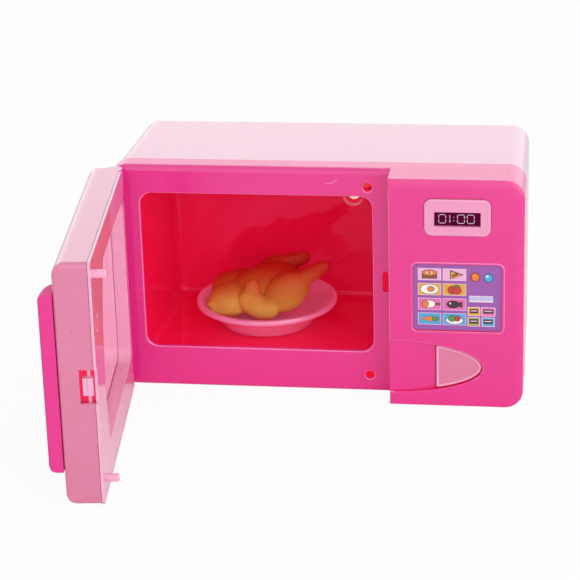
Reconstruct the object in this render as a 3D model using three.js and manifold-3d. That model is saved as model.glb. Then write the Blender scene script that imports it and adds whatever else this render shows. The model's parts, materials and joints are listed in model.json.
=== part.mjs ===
// Toy microwave oven with an open door, a lamp, a turntable with a dish and a release button.
// Millimetres. X runs to the right, Y to the back and Z up. Inside the oven group Y is zero at
// the front frame's face; the finished part has its origin in the middle of the underside.
import * as THREE from 'three';
import { mergeVertices } from 'three/addons/utils/BufferGeometryUtils.js';
import Module from 'manifold-3d';

const wasm = await Module();
wasm.setup();

// Fits and cuts
const clearance = 0.3;
const overrun = 1;

// Body
const bodyWidth = 160;
const bodyHeight = 91.5;
const bodyDepth = 67;
const bodyCorner = 7;
const shellWall = 1.8;
const frameWall = 2;
const rimDepth = 9.4;
const rimRound = 2.5;

// Rear cover
const coverStep = 0.4;
const coverTaper = 0.9;
const coverRound = 3;

// Control panel on the right of the frame
const panelWidth = 51.1;
const panelStep = 12;
const panelWall = 2;
const panelRound = 6.5;
const panelSideRound = 4;
const panelRoundDepth = 1.1;
const panelLeftRound = 0.5;
const panelLeftCorner = 1.2;

// Oven cavity
const cavityMargin = 11.75;
const cavityRightMargin = 7.15;
const cavityFloor = 17;
const cavityTopMargin = 11;
const cavityBackRoom = 8.7;
const cavityCorner = 4.8;
const cavityDraft = 1.2;
const linerWall = 1.5;

// Door
const doorGap = 0.3;
const doorThickness = 13.5;
const doorFoot = 0.4;
const doorEndGap = 0.6;
const doorOpenAngle = 83.9;
const doorEdgeRound = 4.5;
const doorHingeRound = 3;
const doorEndRound = 1;
const doorCorner = 2;
const doorFaceCorner = 5;
const trayWall = 1.6;
const innerPlateWall = 1;

// Door hinge
const hingeInset = 3.4;
const barrelRadius = 3;
const hingePinRadius = 0.95;
const hingePinGrip = 3;
const lugRadius = 2.3;
const lugHeight = 6;
const lugMargin = 7;

// Door window
const windowHingeInset = 5.4;
const windowEndMargin = 21;
const windowBottom = 14.3;
const windowTopMargin = 11;
const windowBulgeHeight = 38.3;
const windowSideRadius = 72.75;
const windowHingeCorner = 6;
const windowEndCorner = 3;
const windowLip = 1.2;
const windowLipDepth = 5;
const paneThickness = 1;

// Handle
const handleBottom = 12.9;
const handleTopMargin = 11.8;
const handleWidth = 10.5;
const handleHeight = 5.3;
const handleInnerHeight = 1.6;
const handleMiddleHeight = 3.6;
const handleMiddle = 7;
const handleEdge = 0.8;
const handleCorner = 2.9;

// Pegs on the door and their holes in the frame
const pegRadius = 1.3;
const pegLength = 4.7;
const pegHoleRadius = 1.75;
const pegInset = 8.2;
const pegUpperMargin = 7.3;
const pegLowerHeight = 7.15;

// Snap catch at the door's free end
const catchHeight = 12.8;
const catchBottom = 39.2;
const catchDepth = 6.2;
const tongueHeight = 6.5;
const tongueThickness = 1;
const catchSlotWidth = 2.4;
const catchSlotOffset = 1;
const catchSlotBottom = 41.9;
const catchSlotHeight = 8.5;

// Display on the panel
const displayLeft = 13.7;
const displayTopMargin = 7.3;
const displayWidth = 24.8;
const displayHeight = 14.2;
const displayCorner = 2.7;
const displayProud = 0.9;
const displayPocket = 1;
const displayWindowWidth = 17.2;
const displayWindowHeight = 5;
const displayWindowLift = 4;
const displayLabelThickness = 0.25;
const displayLabelMargin = 1;

// Keypad label in its recess
const keypadLeft = 9.4;
const keypadBottom = 31.7;
const keypadWidth = 33.4;
const keypadDisplayGap = 11.9;
const keypadCorner = 1.6;
const keypadRecess = 0.6;
const keypadThickness = 0.25;
const keypadRim = 1.1;
const keypadRimProud = 0.45;

// Release button in its thumb scoop
const scoopLength = 35.7;
const scoopHalfHeight = 10.6;
const scoopHeight = 16.3;
const scoopShallow = 1;
const scoopDeep = 2.2;
const scoopWall = 1.8;
const buttonInset = 17.5;
const buttonGap = 0.45;
const buttonFlange = 1.2;
const buttonFlangeWall = 1.4;
const buttonEdge = 0.5;
const buttonSink = 0.9;
const buttonPostWidth = 3;
const buttonPostTip = 1;
const buttonPostOffset = 23.1;
const buttonSpringRadius = 2.4;
const buttonSpringWire = 0.35;
const buttonSpringTurns = 5;
const buttonSpringOffset = 29.5;

// Release lever behind the frame
const leverPivot = 7.2;
const leverPivotDepth = 9.2;
const leverArm = 16;
const leverThickness = 2.4;
const leverHeight = 5;
const leverBottom = 5.5;
const leverHubRadius = 3;
const leverPinRadius = 1;
const leverPinHead = 2;
const leverPinHeadHeight = 1;

// Carrier of the lever and the button spring
const carrierWall = 1.6;
const carrierLeft = 2.4;
const carrierRight = 37;
const carrierFront = -6;
const carrierBack = 14;
const carrierSeatDepth = 2;
const carrierSeatHeight = 18;
const carrierSeatWidth = 9;
const stakeRadius = 1.2;
const stakeHeadRadius = 2;
const stakeHead = 0.8;
const stakeInset = 5;

// Lamp switch behind the upper peg hole
const switchWidth = 8.6;
const switchHeight = 5.6;
const switchDepth = 6;
const switchFront = 7;
const plungerRadius = 1;
const plungerReach = 2;
const plungerBore = 3.5;
const switchRibWall = 1.2;

// Lamp in the cavity's back wall
const lampRightMargin = 13.85;
const lampTopMargin = 18.7;
const lampBore = 5;
const lampRingRadius = 7;
const lampRingProud = 0.8;
const lampCupWall = 1;
const lampCupDepth = 3.6;
const lampMouth = 4.2;
const ledRadius = 2.2;
const ledLength = 3.6;
const ledBaseRadius = 2.7;
const lampBoardWidth = 14;
const lampBoardHeight = 12;
const lampBoardWall = 1;

// Turntable, dish and drive
const turntableShift = 1.15;
const turntableSetBack = 0.15;
const dishGap = 0.75;
const dishFootRadius = 17.6;
const dishHeight = 10.5;
const dishWall = 1.3;
const dishRimHeight = 2;
const dishLedge = 3.4;
const spindleRadius = 2;
const couplerRadius = 4;
const couplerHeight = 2.4;
const gearRadius = 12;
const gearTeeth = 36;
const gearWall = 2;
const gearToothHeight = 1.4;
const gearToothWidth = 0.8;
const gearToothLength = 3;
const gearTop = 13.4;
const pinionTeeth = 9;
const pinionRootRadius = 2.1;
const pinionToothHeight = 1.2;
const pinionToothWidth = 0.7;
const pinionWidth = 1.8;
const pinionAxisHeight = 7.6;
const motorWidth = 12;
const motorHeight = 7.2;
const motorLength = 16;
const motorShaftRadius = 0.75;
const motorShaftGrip = 4;
const motorGap = 3.2;
const bracketWall = 1.4;
const bracketLength = 60;
const bracketWidth = 26;
const bracketPostRadius = 2.6;
const bearingRadius = 4;
const bearingHeight = 2.4;

// Chicken on the dish
const birdLengthShare = 1.76;
const birdWidthShare = 0.95;
const birdHeightShare = 0.775;
const birdSides = 14;
const birdRings = 8;

// Case screws and their wells
const wellInset = 8;
const wellRadius = 3;
const wellWall = 1.2;
const wellFloorDepth = 18;
const wellFloorWall = 2.2;
const postRadius = 3;
const postGap = 0.5;
const screwRadius = 1.4;
const screwHeadRadius = 2.6;
const screwHeadHeight = 1.8;
const screwLength = 13;
const screwSlot = 0.6;
const screwSlotDepth = 0.7;

// Battery box, cells and door
const cellRadius = 7.1;
const cellLength = 50.5;
const cellNubRadius = 2.7;
const cellNubHeight = 1;
const cellSpacing = 15.6;
const boxRightMargin = 30;
const boxWall = 1.2;
const boxTopMargin = 12;
const cellRoom = 8;
const boxDepth = 18;
const boxBackGap = 2.1;
const cellSpringRadius = 3;
const cellSpringWire = 0.35;
const cellSpringTurns = 2;
const bridgeWall = 0.4;
const hatchWidth = 33;
const hatchReach = 2.2;
const hatchTopReach = 5.7;
const hatchCorner = 2;
const hatchTabWidth = 4;
const hatchTabReach = 2.6;
const hatchTabWall = 1.5;
const hatchBossRadius = 2.8;
const hatchBossLift = 2.2;
const hatchBossLength = 10;

// Sound board behind the keypad
const boardLeft = 8;
const boardBottom = 31;
const boardWidth = 38;
const boardHeight = 32;
const boardWall = 1.4;
const boardPostLength = 5;
const boardPostRadius = 2;
const boardPostInset = 3;
const speakerRadius = 9;
const speakerDepth = 3;
const boardScrewRadius = 0.8;
const boardScrewHead = 1.7;
const boardScrewHeadHeight = 1;
const boardScrewLength = 5;

// Counts of steps
const cornerSteps = 4;
const roundSteps = 3;
const arcSteps = 8;
const boreSides = 16;
const rodSides = 16;
const latheSides = 40;
const springSteps = 8;
const springSides = 5;

// Places that follow from the sizes
const bodyLeft = -bodyWidth / 2;
const bodyRight = bodyWidth / 2;
const panelLeft = bodyRight - panelWidth;
const panelFace = -panelStep;
const panelInside = panelFace + panelWall;
const cavityLeft = bodyLeft + cavityMargin;
const cavityRight = panelLeft - cavityRightMargin;
const cavityTop = bodyHeight - cavityTopMargin;
const cavityDepth = bodyDepth - cavityBackRoom;
const bodyMiddleY = (bodyDepth - panelStep) / 2;
const hingeX = bodyLeft + hingeInset;
const hingeY = -doorGap - barrelRadius;
const doorRight = panelLeft - doorEndGap;
const doorFace = -doorGap - doorThickness;
const doorTop = bodyHeight - doorFoot;
const innerPlateBack = -doorGap;
const innerPlateFront = innerPlateBack - innerPlateWall;
const trayBack = innerPlateFront - clearance;
const pegX = doorRight - pegInset;
const lugUpperBottom = bodyHeight - lugMargin - lugHeight;
const lugBottoms = [lugMargin, lugUpperBottom];
const backInside = bodyDepth - shellWall;
const pivotX = panelLeft + leverPivot;
const switchBottom = cavityTop + linerWall + clearance;
const windowTop = bodyHeight - windowTopMargin;
const handleTop = bodyHeight - handleTopMargin;
const pegUpperHeight = bodyHeight - pegUpperMargin;
const displayBottom = bodyHeight - displayTopMargin - displayHeight;
const keypadHeight = displayBottom - keypadDisplayGap - keypadBottom;
const lampX = cavityRight - lampRightMargin;
const lampHeight = cavityTop - lampTopMargin;
const turntableX = (cavityLeft + cavityRight) / 2 - turntableShift;
const turntableY = cavityDepth / 2 + turntableSetBack;
const dishRadius = cavityDepth / 2 - dishGap;
const birdLength = dishRadius * birdLengthShare;
const birdWidth = dishRadius * birdWidthShare;
const birdHeight = dishRadius * birdHeightShare;
const boxX = bodyRight - boxRightMargin;
const boxHeight = cellLength + cellRoom;
const boxBottom = bodyHeight - boxTopMargin - boxHeight;
const hatchBottom = boxBottom - hatchReach;
const hatchHeight = hatchReach + boxHeight + hatchTopReach;
const motorLeft = turntableX + gearRadius + gearToothLength / 2 + motorGap;
const trayTop = shellWall + clearance + bracketWall;

// A closed geometry as a solid that can be joined and cut
function solid(geometry) {
  const bare = geometry.clone();
  bare.deleteAttribute('normal');
  bare.deleteAttribute('uv');
  const merged = mergeVertices(bare);
  const corners = merged.index.array;
  const kept = [];
  for (let i = 0; i < corners.length; i += 3) {
    const [a, b, c] = [corners[i], corners[i + 1], corners[i + 2]];
    if (a !== b && b !== c && c !== a) kept.push(a, b, c);
  }
  return new wasm.Manifold(new wasm.Mesh({
    numProp: 3,
    vertProperties: Float32Array.from(merged.attributes.position.array),
    triVerts: Uint32Array.from(kept),
  }));
}

// A named mesh with a material of its own
function piece(name, body, colour, roughness, metalness = 0) {
  const mesh = body.getMesh();
  const geometry = new THREE.BufferGeometry();
  geometry.setAttribute('position', new THREE.BufferAttribute(mesh.vertProperties, 3));
  geometry.setIndex(new THREE.BufferAttribute(mesh.triVerts, 1));
  geometry.computeVertexNormals();
  const material = new THREE.MeshStandardMaterial({ color: colour, roughness, metalness });
  const result = new THREE.Mesh(geometry, material);
  result.name = name;
  return result;
}

function join(bodies) {
  return bodies.reduce((whole, body) => whole.add(body));
}

function cut(body, tools) {
  return tools.reduce((rest, tool) => rest.subtract(tool), body);
}

// An outline drawn in two axes and extruded along the third
const prismAxes = {
  x: [[0, 1, 0], [0, 0, 1], [1, 0, 0]],
  y: [[1, 0, 0], [0, 0, 1], [0, -1, 0]],
  z: [[1, 0, 0], [0, 1, 0], [0, 0, 1]],
};

function prism(points, axis, from, to) {
  const shape = new THREE.Shape(points.map(([a, b]) => new THREE.Vector2(a, b)));
  const geometry = new THREE.ExtrudeGeometry(shape, { depth: to - from, bevelEnabled: false });
  const [first, second, third] = prismAxes[axis].map((v) => new THREE.Vector3(...v));
  geometry.applyMatrix4(new THREE.Matrix4().makeBasis(first, second, third));
  const start = axis === 'y' ? to : from;
  geometry.translate(axis === 'x' ? start : 0, axis === 'y' ? start : 0, axis === 'z' ? start : 0);
  return solid(geometry);
}

function block(x0, x1, y0, y1, z0, z1) {
  const geometry = new THREE.BoxGeometry(x1 - x0, y1 - y0, z1 - z0);
  geometry.translate((x0 + x1) / 2, (y0 + y1) / 2, (z0 + z1) / 2);
  return solid(geometry);
}

// A round rod along an axis, from one place on that axis to another
function rod(axis, centre, radius, from, to, sides = rodSides) {
  const geometry = new THREE.CylinderGeometry(radius, radius, to - from, sides);
  const middle = (from + to) / 2;
  if (axis === 'x') {
    geometry.rotateZ(Math.PI / 2);
    geometry.translate(middle, centre[0], centre[1]);
  } else if (axis === 'y') {
    geometry.translate(centre[0], middle, centre[1]);
  } else {
    geometry.rotateX(Math.PI / 2);
    geometry.translate(centre[0], centre[1], middle);
  }
  return solid(geometry);
}

// A profile of radius and height turned about an upright axis
function turned(profile, sides = latheSides) {
  const points = profile.map(([radius, height]) => new THREE.Vector2(radius, height));
  const geometry = new THREE.LatheGeometry(points, sides);
  geometry.rotateX(Math.PI / 2);
  return solid(geometry);
}

// The points of a rectangle with its own radius at each corner, anticlockwise from lower left
function rectangle(x0, z0, x1, z1, radii) {
  const [a, b, c, d] = radii;
  const corners = [
    [x0 + a, z0 + a, a, 2], [x1 - b, z0 + b, b, 3], [x1 - c, z1 - c, c, 0], [x0 + d, z1 - d, d, 1],
  ];
  return corners.flatMap(([x, z, radius, quarter]) => Array.from({ length: cornerSteps + 1 }, (_, k) => {
    const angle = (quarter + k / cornerSteps) * Math.PI / 2;
    return [x + radius * Math.cos(angle), z + radius * Math.sin(angle)];
  }));
}

// A skin over rings of points that follow each other along Y, closed at both ends
function loft(rings) {
  const count = rings[0].points.length;
  const positions = rings.flatMap(({ y, points }) => points.flatMap(([x, z]) => [x, y, z]));
  const index = [];
  for (let ring = 0; ring < rings.length - 1; ring += 1) {
    for (let i = 0; i < count; i += 1) {
      const a = ring * count + i;
      const b = ring * count + (i + 1) % count;
      index.push(a, a + count, b + count, a, b + count, b);
    }
  }
  const last = (rings.length - 1) * count;
  for (let i = 1; i < count - 1; i += 1) {
    index.push(0, i, i + 1, last, last + i + 1, last + i);
  }
  const geometry = new THREE.BufferGeometry();
  geometry.setAttribute('position', new THREE.Float32BufferAttribute(positions, 3));
  geometry.setIndex(index);
  return solid(geometry);
}

// A rectangle drawn in by an amount on each side: left, bottom, right, top
function insetRing(box, radii, insets, y) {
  const [left, bottom, right, top] = insets;
  return {
    y,
    points: rectangle(box[0] + left, box[1] + bottom, box[2] - right, box[3] - top, radii),
  };
}

// A slab whose front edges are rounded, and whose back face is flat
function roundedSlab(box, radii, frontRadii, rounds, roundDepth, front, back) {
  const rings = [];
  for (let step = roundSteps; step >= 0; step -= 1) {
    const angle = step / roundSteps * Math.PI / 2;
    const drawn = 1 - Math.cos(angle);
    rings.push(insetRing(
      box,
      radii.map((radius, i) => radius + (frontRadii[i] - radius) * drawn),
      rounds.map((round) => round * drawn),
      front + roundDepth * (1 - Math.sin(angle)),
    ));
  }
  rings.push(insetRing(box, radii, [0, 0, 0, 0], back));
  return loft(rings);
}

function same(value) {
  return [value, value, value, value];
}

// A wire wound around the Y axis: one unbroken tube with closed ends
function spring(radius, wire, turns, from, to) {
  const stations = turns * springSteps + 1;
  const positions = [];
  for (let i = 0; i < stations; i += 1) {
    const angle = i / springSteps * 2 * Math.PI;
    const y = from + wire + (to - from - 2 * wire) * i / (stations - 1);
    for (let k = 0; k < springSides; k += 1) {
      const round = k / springSides * 2 * Math.PI;
      const out = radius - wire + wire * Math.cos(round);
      positions.push(out * Math.cos(angle), y + wire * Math.sin(round), out * Math.sin(angle));
    }
  }
  const index = [];
  for (let i = 0; i < stations - 1; i += 1) {
    for (let k = 0; k < springSides; k += 1) {
      const a = i * springSides + k;
      const b = i * springSides + (k + 1) % springSides;
      index.push(a, b, b + springSides, a, b + springSides, a + springSides);
    }
  }
  const last = (stations - 1) * springSides;
  for (let k = 1; k < springSides - 1; k += 1) {
    index.push(0, k + 1, k, last, last + k, last + k + 1);
  }
  const geometry = new THREE.BufferGeometry();
  geometry.setAttribute('position', new THREE.Float32BufferAttribute(positions, 3));
  geometry.setIndex(index);
  return geometry;
}

// Colours
const hotPink = 0xe8458f;
const palePink = 0xf3cfe0;
const doorPink = 0xf0a3bd;
const cavityPink = 0xe01a55;
const steel = 0xb9bcc0;
const ivory = 0xe9e4da;

// The oven cavity's outline, grown by an amount
function cavityOutline(grow) {
  return rectangle(
    cavityLeft - grow, cavityFloor - grow, cavityRight + grow, cavityTop + grow,
    same(cavityCorner + grow),
  );
}

// The scoop's outline from one distance behind the panel's left edge to its tip, grown by an amount
function scoopOutline(startX, grow) {
  const length = scoopLength + grow;
  const half = scoopHalfHeight + grow;
  const limit = Math.acos(startX / length);
  const points = [];
  for (let i = 0; i <= 2 * arcSteps; i += 1) {
    const angle = limit * (i / arcSteps - 1);
    points.push([panelLeft + length * Math.cos(angle), scoopHeight + half * Math.sin(angle)]);
  }
  return points;
}

function wellPlaces() {
  const [left, right] = [bodyLeft + wellInset, bodyRight - wellInset];
  const [low, high] = [wellInset, bodyHeight - wellInset];
  return [[left, low], [right, low], [right, high], [left, high]];
}

function stakePlaces() {
  const left = panelLeft + carrierLeft + stakeInset;
  const right = panelLeft + carrierRight - stakeInset;
  return [[left, carrierFront / 2], [right, carrierFront / 2]];
}

function boardPosts() {
  const left = panelLeft + boardLeft + boardPostInset;
  const right = panelLeft + boardLeft + boardWidth - boardPostInset;
  return [[left, boardBottom + boardHeight - boardPostInset], [right, boardBottom + boardPostInset]];
}

// The front housing: frame, rim, control panel, hinge lugs and posts in one moulding
function frontHousing() {
  const whole = [bodyLeft, 0, bodyRight, bodyHeight];
  const rim = roundedSlab(
    whole, same(bodyCorner), same(bodyCorner - rimRound), same(rimRound), rimRound, 0, rimDepth,
  );
  const leftRound = panelLeftRound;
  const panelRadii = [panelLeftCorner, bodyCorner, bodyCorner, panelLeftCorner];
  const panelFrontRadii = [panelLeftCorner, bodyCorner - leftRound, bodyCorner - leftRound, panelLeftCorner];
  const panel = roundedSlab(
    [panelLeft, 0, bodyRight, bodyHeight], panelRadii, panelFrontRadii,
    [panelLeftRound, panelRound, panelSideRound, panelRound], panelRoundDepth, panelFace, rimDepth,
  );
  const rimInside = prism(
    rectangle(
      bodyLeft + shellWall, shellWall, bodyRight - shellWall, bodyHeight - shellWall,
      same(bodyCorner - shellWall),
    ), 'y', frameWall, rimDepth + overrun,
  );
  const bay = roundedSlab(
    [panelLeft + shellWall, shellWall, bodyRight - shellWall, bodyHeight - shellWall],
    [panelLeftCorner, bodyCorner - shellWall, bodyCorner - shellWall, panelLeftCorner],
    [panelLeftCorner, bodyCorner - shellWall, bodyCorner - shellWall, panelLeftCorner],
    [panelLeftRound, panelRound - shellWall, panelSideRound - shellWall, panelRound - shellWall],
    panelRoundDepth, panelInside, rimDepth + overrun,
  );
  let body = cut(join([rim, panel]), [rimInside, bay]);
  body = join([body, ...housingAdditions()]);
  return cut(body, housingCuts());
}

// What stands on the housing: lugs, posts, ribs, stakes, the scoop's pad and the keypad's rim
function housingAdditions() {
  const lugs = lugBottoms.flatMap((bottom) => [
    rod('z', [hingeX, hingeY], lugRadius, bottom, bottom + lugHeight, boreSides),
    block(hingeX - lugRadius, hingeX + lugRadius, hingeY, frameWall / 2, bottom, bottom + lugHeight),
  ]);
  const posts = wellPlaces().map(([x, z]) => rod(
    'y', [x, z], postRadius, x < panelLeft ? frameWall / 2 : panelInside - panelWall / 2,
    wellFloorDepth - wellFloorWall - postGap, boreSides,
  ));
  const ribs = [-1, 1].map((side) => {
    const x = pegX + side * (switchWidth / 2 + clearance + switchRibWall / 2);
    const [x0, x1] = [x - switchRibWall / 2, x + switchRibWall / 2];
    const low = switchBottom + switchRibWall;
    const high = bodyHeight - coverStep - coverTaper - shellWall - clearance;
    return join([
      block(x0, x1, frameWall / 2, rimDepth, low, bodyHeight - shellWall / 2),
      block(x0, x1, frameWall / 2, switchFront + switchDepth, low, high),
    ]);
  });
  const stakes = stakePlaces().map(([x, y]) => {
    const top = shellWall + clearance + carrierWall + clearance;
    const profile = [
      [0, shellWall / 2], [stakeRadius, shellWall / 2], [stakeRadius, top],
      [stakeHeadRadius, top], [stakeHeadRadius, top + stakeHead / 2], [stakeRadius, top + stakeHead],
      [0, top + stakeHead],
    ];
    return turned(profile, boreSides).translate([x, y, 0]);
  });
  const boardStands = boardPosts().map(([x, z]) => rod(
    'y', [x, z], boardPostRadius, panelInside - panelWall / 2, panelInside + boardPostLength, boreSides,
  ));
  const pad = prism(
    scoopOutline(shellWall, scoopWall / 2), 'y', panelInside - panelWall / 2,
    panelFace + scoopDeep + scoopWall,
  );
  const [x0, z0] = [panelLeft + keypadLeft, keypadBottom];
  const keypadBand = (grow, radius, y0) => prism(
    rectangle(x0 - grow, z0 - grow, x0 + keypadWidth + grow, z0 + keypadHeight + grow, same(radius)),
    'y', y0, panelFace + panelWall / 2,
  );
  const keypadFrame = keypadBand(keypadRim, keypadCorner + keypadRim, panelFace - keypadRimProud);
  return [...lugs, ...posts, ...ribs, ...stakes, ...boardStands, pad, keypadFrame];
}

// What is cut from the housing: openings, pockets, bores and the thumb scoop
function housingCuts() {
  const opening = prism(cavityOutline(0), 'y', -overrun, frameWall + overrun);
  const pegHoles = [pegLowerHeight, pegUpperHeight].map((z) => rod(
    'y', [pegX, z], pegHoleRadius, -overrun, frameWall + overrun, boreSides,
  ));
  const slotRight = panelLeft - catchSlotOffset;
  const slot = block(
    slotRight - catchSlotWidth, slotRight, -overrun, frameWall + overrun,
    catchSlotBottom, catchSlotBottom + catchSlotHeight,
  );
  const pinBores = lugBottoms.map((bottom) => rod(
    'z', [hingeX, hingeY], hingePinRadius + clearance, bottom - overrun, bottom + lugHeight + overrun,
    boreSides,
  ));
  const screwBores = wellPlaces().map(([x, z]) => rod(
    'y', [x, z], screwRadius + clearance, wellFloorDepth - screwLength - clearance, wellFloorDepth,
    boreSides,
  ));
  const boardBores = boardPosts().map(([x, z]) => rod(
    'y', [x, z], boardScrewRadius + clearance,
    panelInside + boardPostLength + boardWall - boardScrewLength,
    panelInside + boardPostLength + overrun, boreSides,
  ));
  const [dx, dz] = [panelLeft + displayLeft, displayBottom];
  const displayHole = prism(
    rectangle(
      dx - clearance, dz - clearance, dx + displayWidth + clearance, dz + displayHeight + clearance,
      same(displayCorner + clearance),
    ), 'y', panelFace - overrun, panelFace + displayPocket,
  );
  const labelHole = displayLabelBlock(clearance, overrun, clearance);
  const [kx, kz] = [panelLeft + keypadLeft, keypadBottom];
  const keypadHole = prism(
    rectangle(
      kx - clearance, kz - clearance, kx + keypadWidth + clearance, kz + keypadHeight + clearance,
      same(keypadCorner),
    ), 'y', panelFace - keypadRimProud - overrun, panelFace + keypadRecess,
  );
  const scoopEnd = panelLeft + buttonInset;
  const scoopRamp = prism([
    [panelLeft - overrun, panelFace - overrun],
    [scoopEnd, panelFace - overrun],
    [scoopEnd, panelFace + scoopDeep],
    [panelLeft, panelFace + scoopShallow],
    [panelLeft - overrun, panelFace + scoopShallow],
  ], 'z', 0, bodyHeight);
  const scoop = prism(
    [[panelLeft - overrun, scoopHeight - scoopHalfHeight], ...scoopOutline(0, 0),
      [panelLeft - overrun, scoopHeight + scoopHalfHeight]], 'y', panelFace - overrun, 0,
  ).intersect(scoopRamp);
  const buttonHole = prism(scoopOutline(buttonInset, 0), 'y', panelFace - overrun, 0);
  return [
    opening, slot, displayHole, labelHole, keypadHole, scoop, buttonHole,
    ...pegHoles, ...pinBores, ...screwBores, ...boardBores,
  ];
}

// The display label's block, grown sideways, forwards and backwards by its clearances
function displayLabelBlock(grow, forward, backward) {
  const x0 = panelLeft + displayLeft + (displayWidth - displayWindowWidth) / 2 - displayLabelMargin;
  const z0 = displayBottom + displayWindowLift - displayLabelMargin;
  const y0 = panelFace + displayPocket;
  return block(
    x0 - grow, x0 + displayWindowWidth + 2 * displayLabelMargin + grow,
    y0 - forward, y0 + displayLabelThickness + backward,
    z0 - grow, z0 + displayWindowHeight + 2 * displayLabelMargin + grow,
  );
}

// The cavity liner: an open box with draft, a lamp bore and a spindle bore
function cavityLiner() {
  const front = frameWall;
  const drawnRing = (y, share, grow) => ({
    y,
    points: rectangle(
      cavityLeft + cavityDraft * share - grow, cavityFloor - grow,
      cavityRight - cavityDraft * share + grow, cavityTop - cavityDraft * share + grow,
      same(cavityCorner + grow),
    ),
  });
  const outer = loft([drawnRing(front, 0, linerWall), drawnRing(cavityDepth + linerWall, 1, linerWall)]);
  const inner = loft([drawnRing(front - overrun, 0, 0), drawnRing(cavityDepth, 1, 0)]);
  const lampHole = rod(
    'y', [lampX, lampHeight], lampBore + clearance, cavityDepth - overrun, cavityDepth + linerWall + overrun,
    latheSides / 2,
  );
  const spindleHole = rod(
    'z', [turntableX, turntableY], couplerRadius + clearance, cavityFloor - linerWall - overrun,
    cavityFloor + overrun, boreSides,
  );
  return cut(outer, [inner, lampHole, spindleHole]);
}

// The outline of the rear cover at a share of its taper, grown by an amount
function coverRing(y, share, grow) {
  const side = coverStep + coverTaper * share - grow;
  const insets = [side, -grow, side, side];
  return insetRing([bodyLeft, 0, bodyRight, bodyHeight], same(bodyCorner + grow), insets, y);
}

// The rear cover: top, sides, underside and back, with screw wells and the battery opening
function rearCover() {
  const straightEnd = bodyDepth - coverRound;
  const outerRings = [coverRing(rimDepth, 0, 0)];
  for (let step = 0; step <= roundSteps; step += 1) {
    const angle = step / roundSteps * Math.PI / 2;
    outerRings.push(coverRing(
      straightEnd + coverRound * Math.sin(angle), 1, -coverRound * (1 - Math.cos(angle)),
    ));
  }
  const outer = loft(outerRings);
  const inner = loft([
    coverRing(rimDepth - overrun, 0, -shellWall), coverRing(backInside, 1, -shellWall),
  ]);
  const shell = outer.subtract(inner);
  const tubes = wellPlaces().map(([x, z]) => rod(
    'y', [x, z], wellRadius + wellWall, wellFloorDepth - wellFloorWall, bodyDepth, boreSides,
  ));
  const wells = wellPlaces().flatMap(([x, z]) => [
    rod('y', [x, z], wellRadius, wellFloorDepth, bodyDepth + overrun, boreSides),
    rod('y', [x, z], screwRadius + clearance, wellFloorDepth - wellFloorWall - overrun,
      wellFloorDepth + overrun, boreSides),
  ]);
  const hatchHole = prism(hatchOutline(clearance), 'y', backInside - overrun, bodyDepth + overrun);
  return cut(join([shell, join(tubes).intersect(outer)]), [...wells, hatchHole]);
}

function hatchOutline(grow) {
  return rectangle(
    boxX - hatchWidth / 2 - grow, hatchBottom - grow,
    boxX + hatchWidth / 2 + grow, hatchBottom + hatchHeight + grow, same(hatchCorner),
  );
}

// A slotted pan-head screw along Y: its head towards the back, its tip towards the front
function screw(x, z, seat, radius, length, headRadius, headHeight) {
  const head = rod('y', [x, z], headRadius, seat, seat + headHeight, boreSides);
  const shaft = rod('y', [x, z], radius, seat - length, seat + headHeight / 2, boreSides);
  const slotTool = block(
    x - headRadius - overrun, x + headRadius + overrun, seat + headHeight - screwSlotDepth,
    seat + headHeight + overrun, z - screwSlot / 2, z + screwSlot / 2,
  );
  return cut(join([head, shaft]), [slotTool]);
}

// The door is drawn closed, with the hinge axis at zero in X and Y of its own group
const doorX = (x) => x - hingeX;
const doorY = (y) => y - hingeY;

// The window's outline, grown by an amount: a bowed side at the handle, straight at the hinge
function windowOutline(grow) {
  const left = windowHingeInset - grow;
  const bottom = windowBottom - grow;
  const top = windowTop + grow;
  const radius = windowSideRadius + grow;
  const centre = doorX(doorRight) - windowEndMargin - windowSideRadius;
  const bow = (z) => centre + Math.sqrt(radius ** 2 - (z - windowBulgeHeight) ** 2);
  const right = windowEndCorner + grow;
  const hinge = windowHingeCorner + grow;
  const points = [];
  const turn = (k) => k / cornerSteps * Math.PI / 2;
  for (let k = 0; k <= cornerSteps; k += 1) {
    const z = bottom + right * (1 - Math.cos(turn(k)));
    points.push([bow(z) - right * (1 - Math.sin(turn(k))), z]);
  }
  for (let k = 1; k < arcSteps; k += 1) {
    const z = bottom + right + (top - bottom - 2 * right) * k / arcSteps;
    points.push([bow(z), z]);
  }
  for (let k = cornerSteps; k >= 0; k -= 1) {
    const z = top - right * (1 - Math.cos(turn(k)));
    points.push([bow(z) - right * (1 - Math.sin(turn(k))), z]);
  }
  for (let k = 0; k <= cornerSteps; k += 1) {
    points.push([left + hinge * (1 - Math.sin(turn(k))), top - hinge * (1 - Math.cos(turn(k)))]);
  }
  for (let k = cornerSteps; k >= 0; k -= 1) {
    points.push([left + hinge * (1 - Math.sin(turn(k))), bottom + hinge * (1 - Math.cos(turn(k)))]);
  }
  return points;
}

// Room for the hinge lugs, swept as the door turns about them
function lugRooms() {
  const reach = lugRadius + 2 * clearance;
  return lugBottoms.map((bottom) => block(
    -barrelRadius - overrun, reach, -reach, barrelRadius + overrun,
    bottom - clearance, bottom + lugHeight + clearance,
  ));
}

function catchBlock(depth, x0) {
  return block(
    x0, doorX(doorRight) + overrun, doorY(-doorGap) - depth, doorY(-doorGap) + overrun,
    catchBottom, catchBottom + catchHeight,
  );
}

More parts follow.
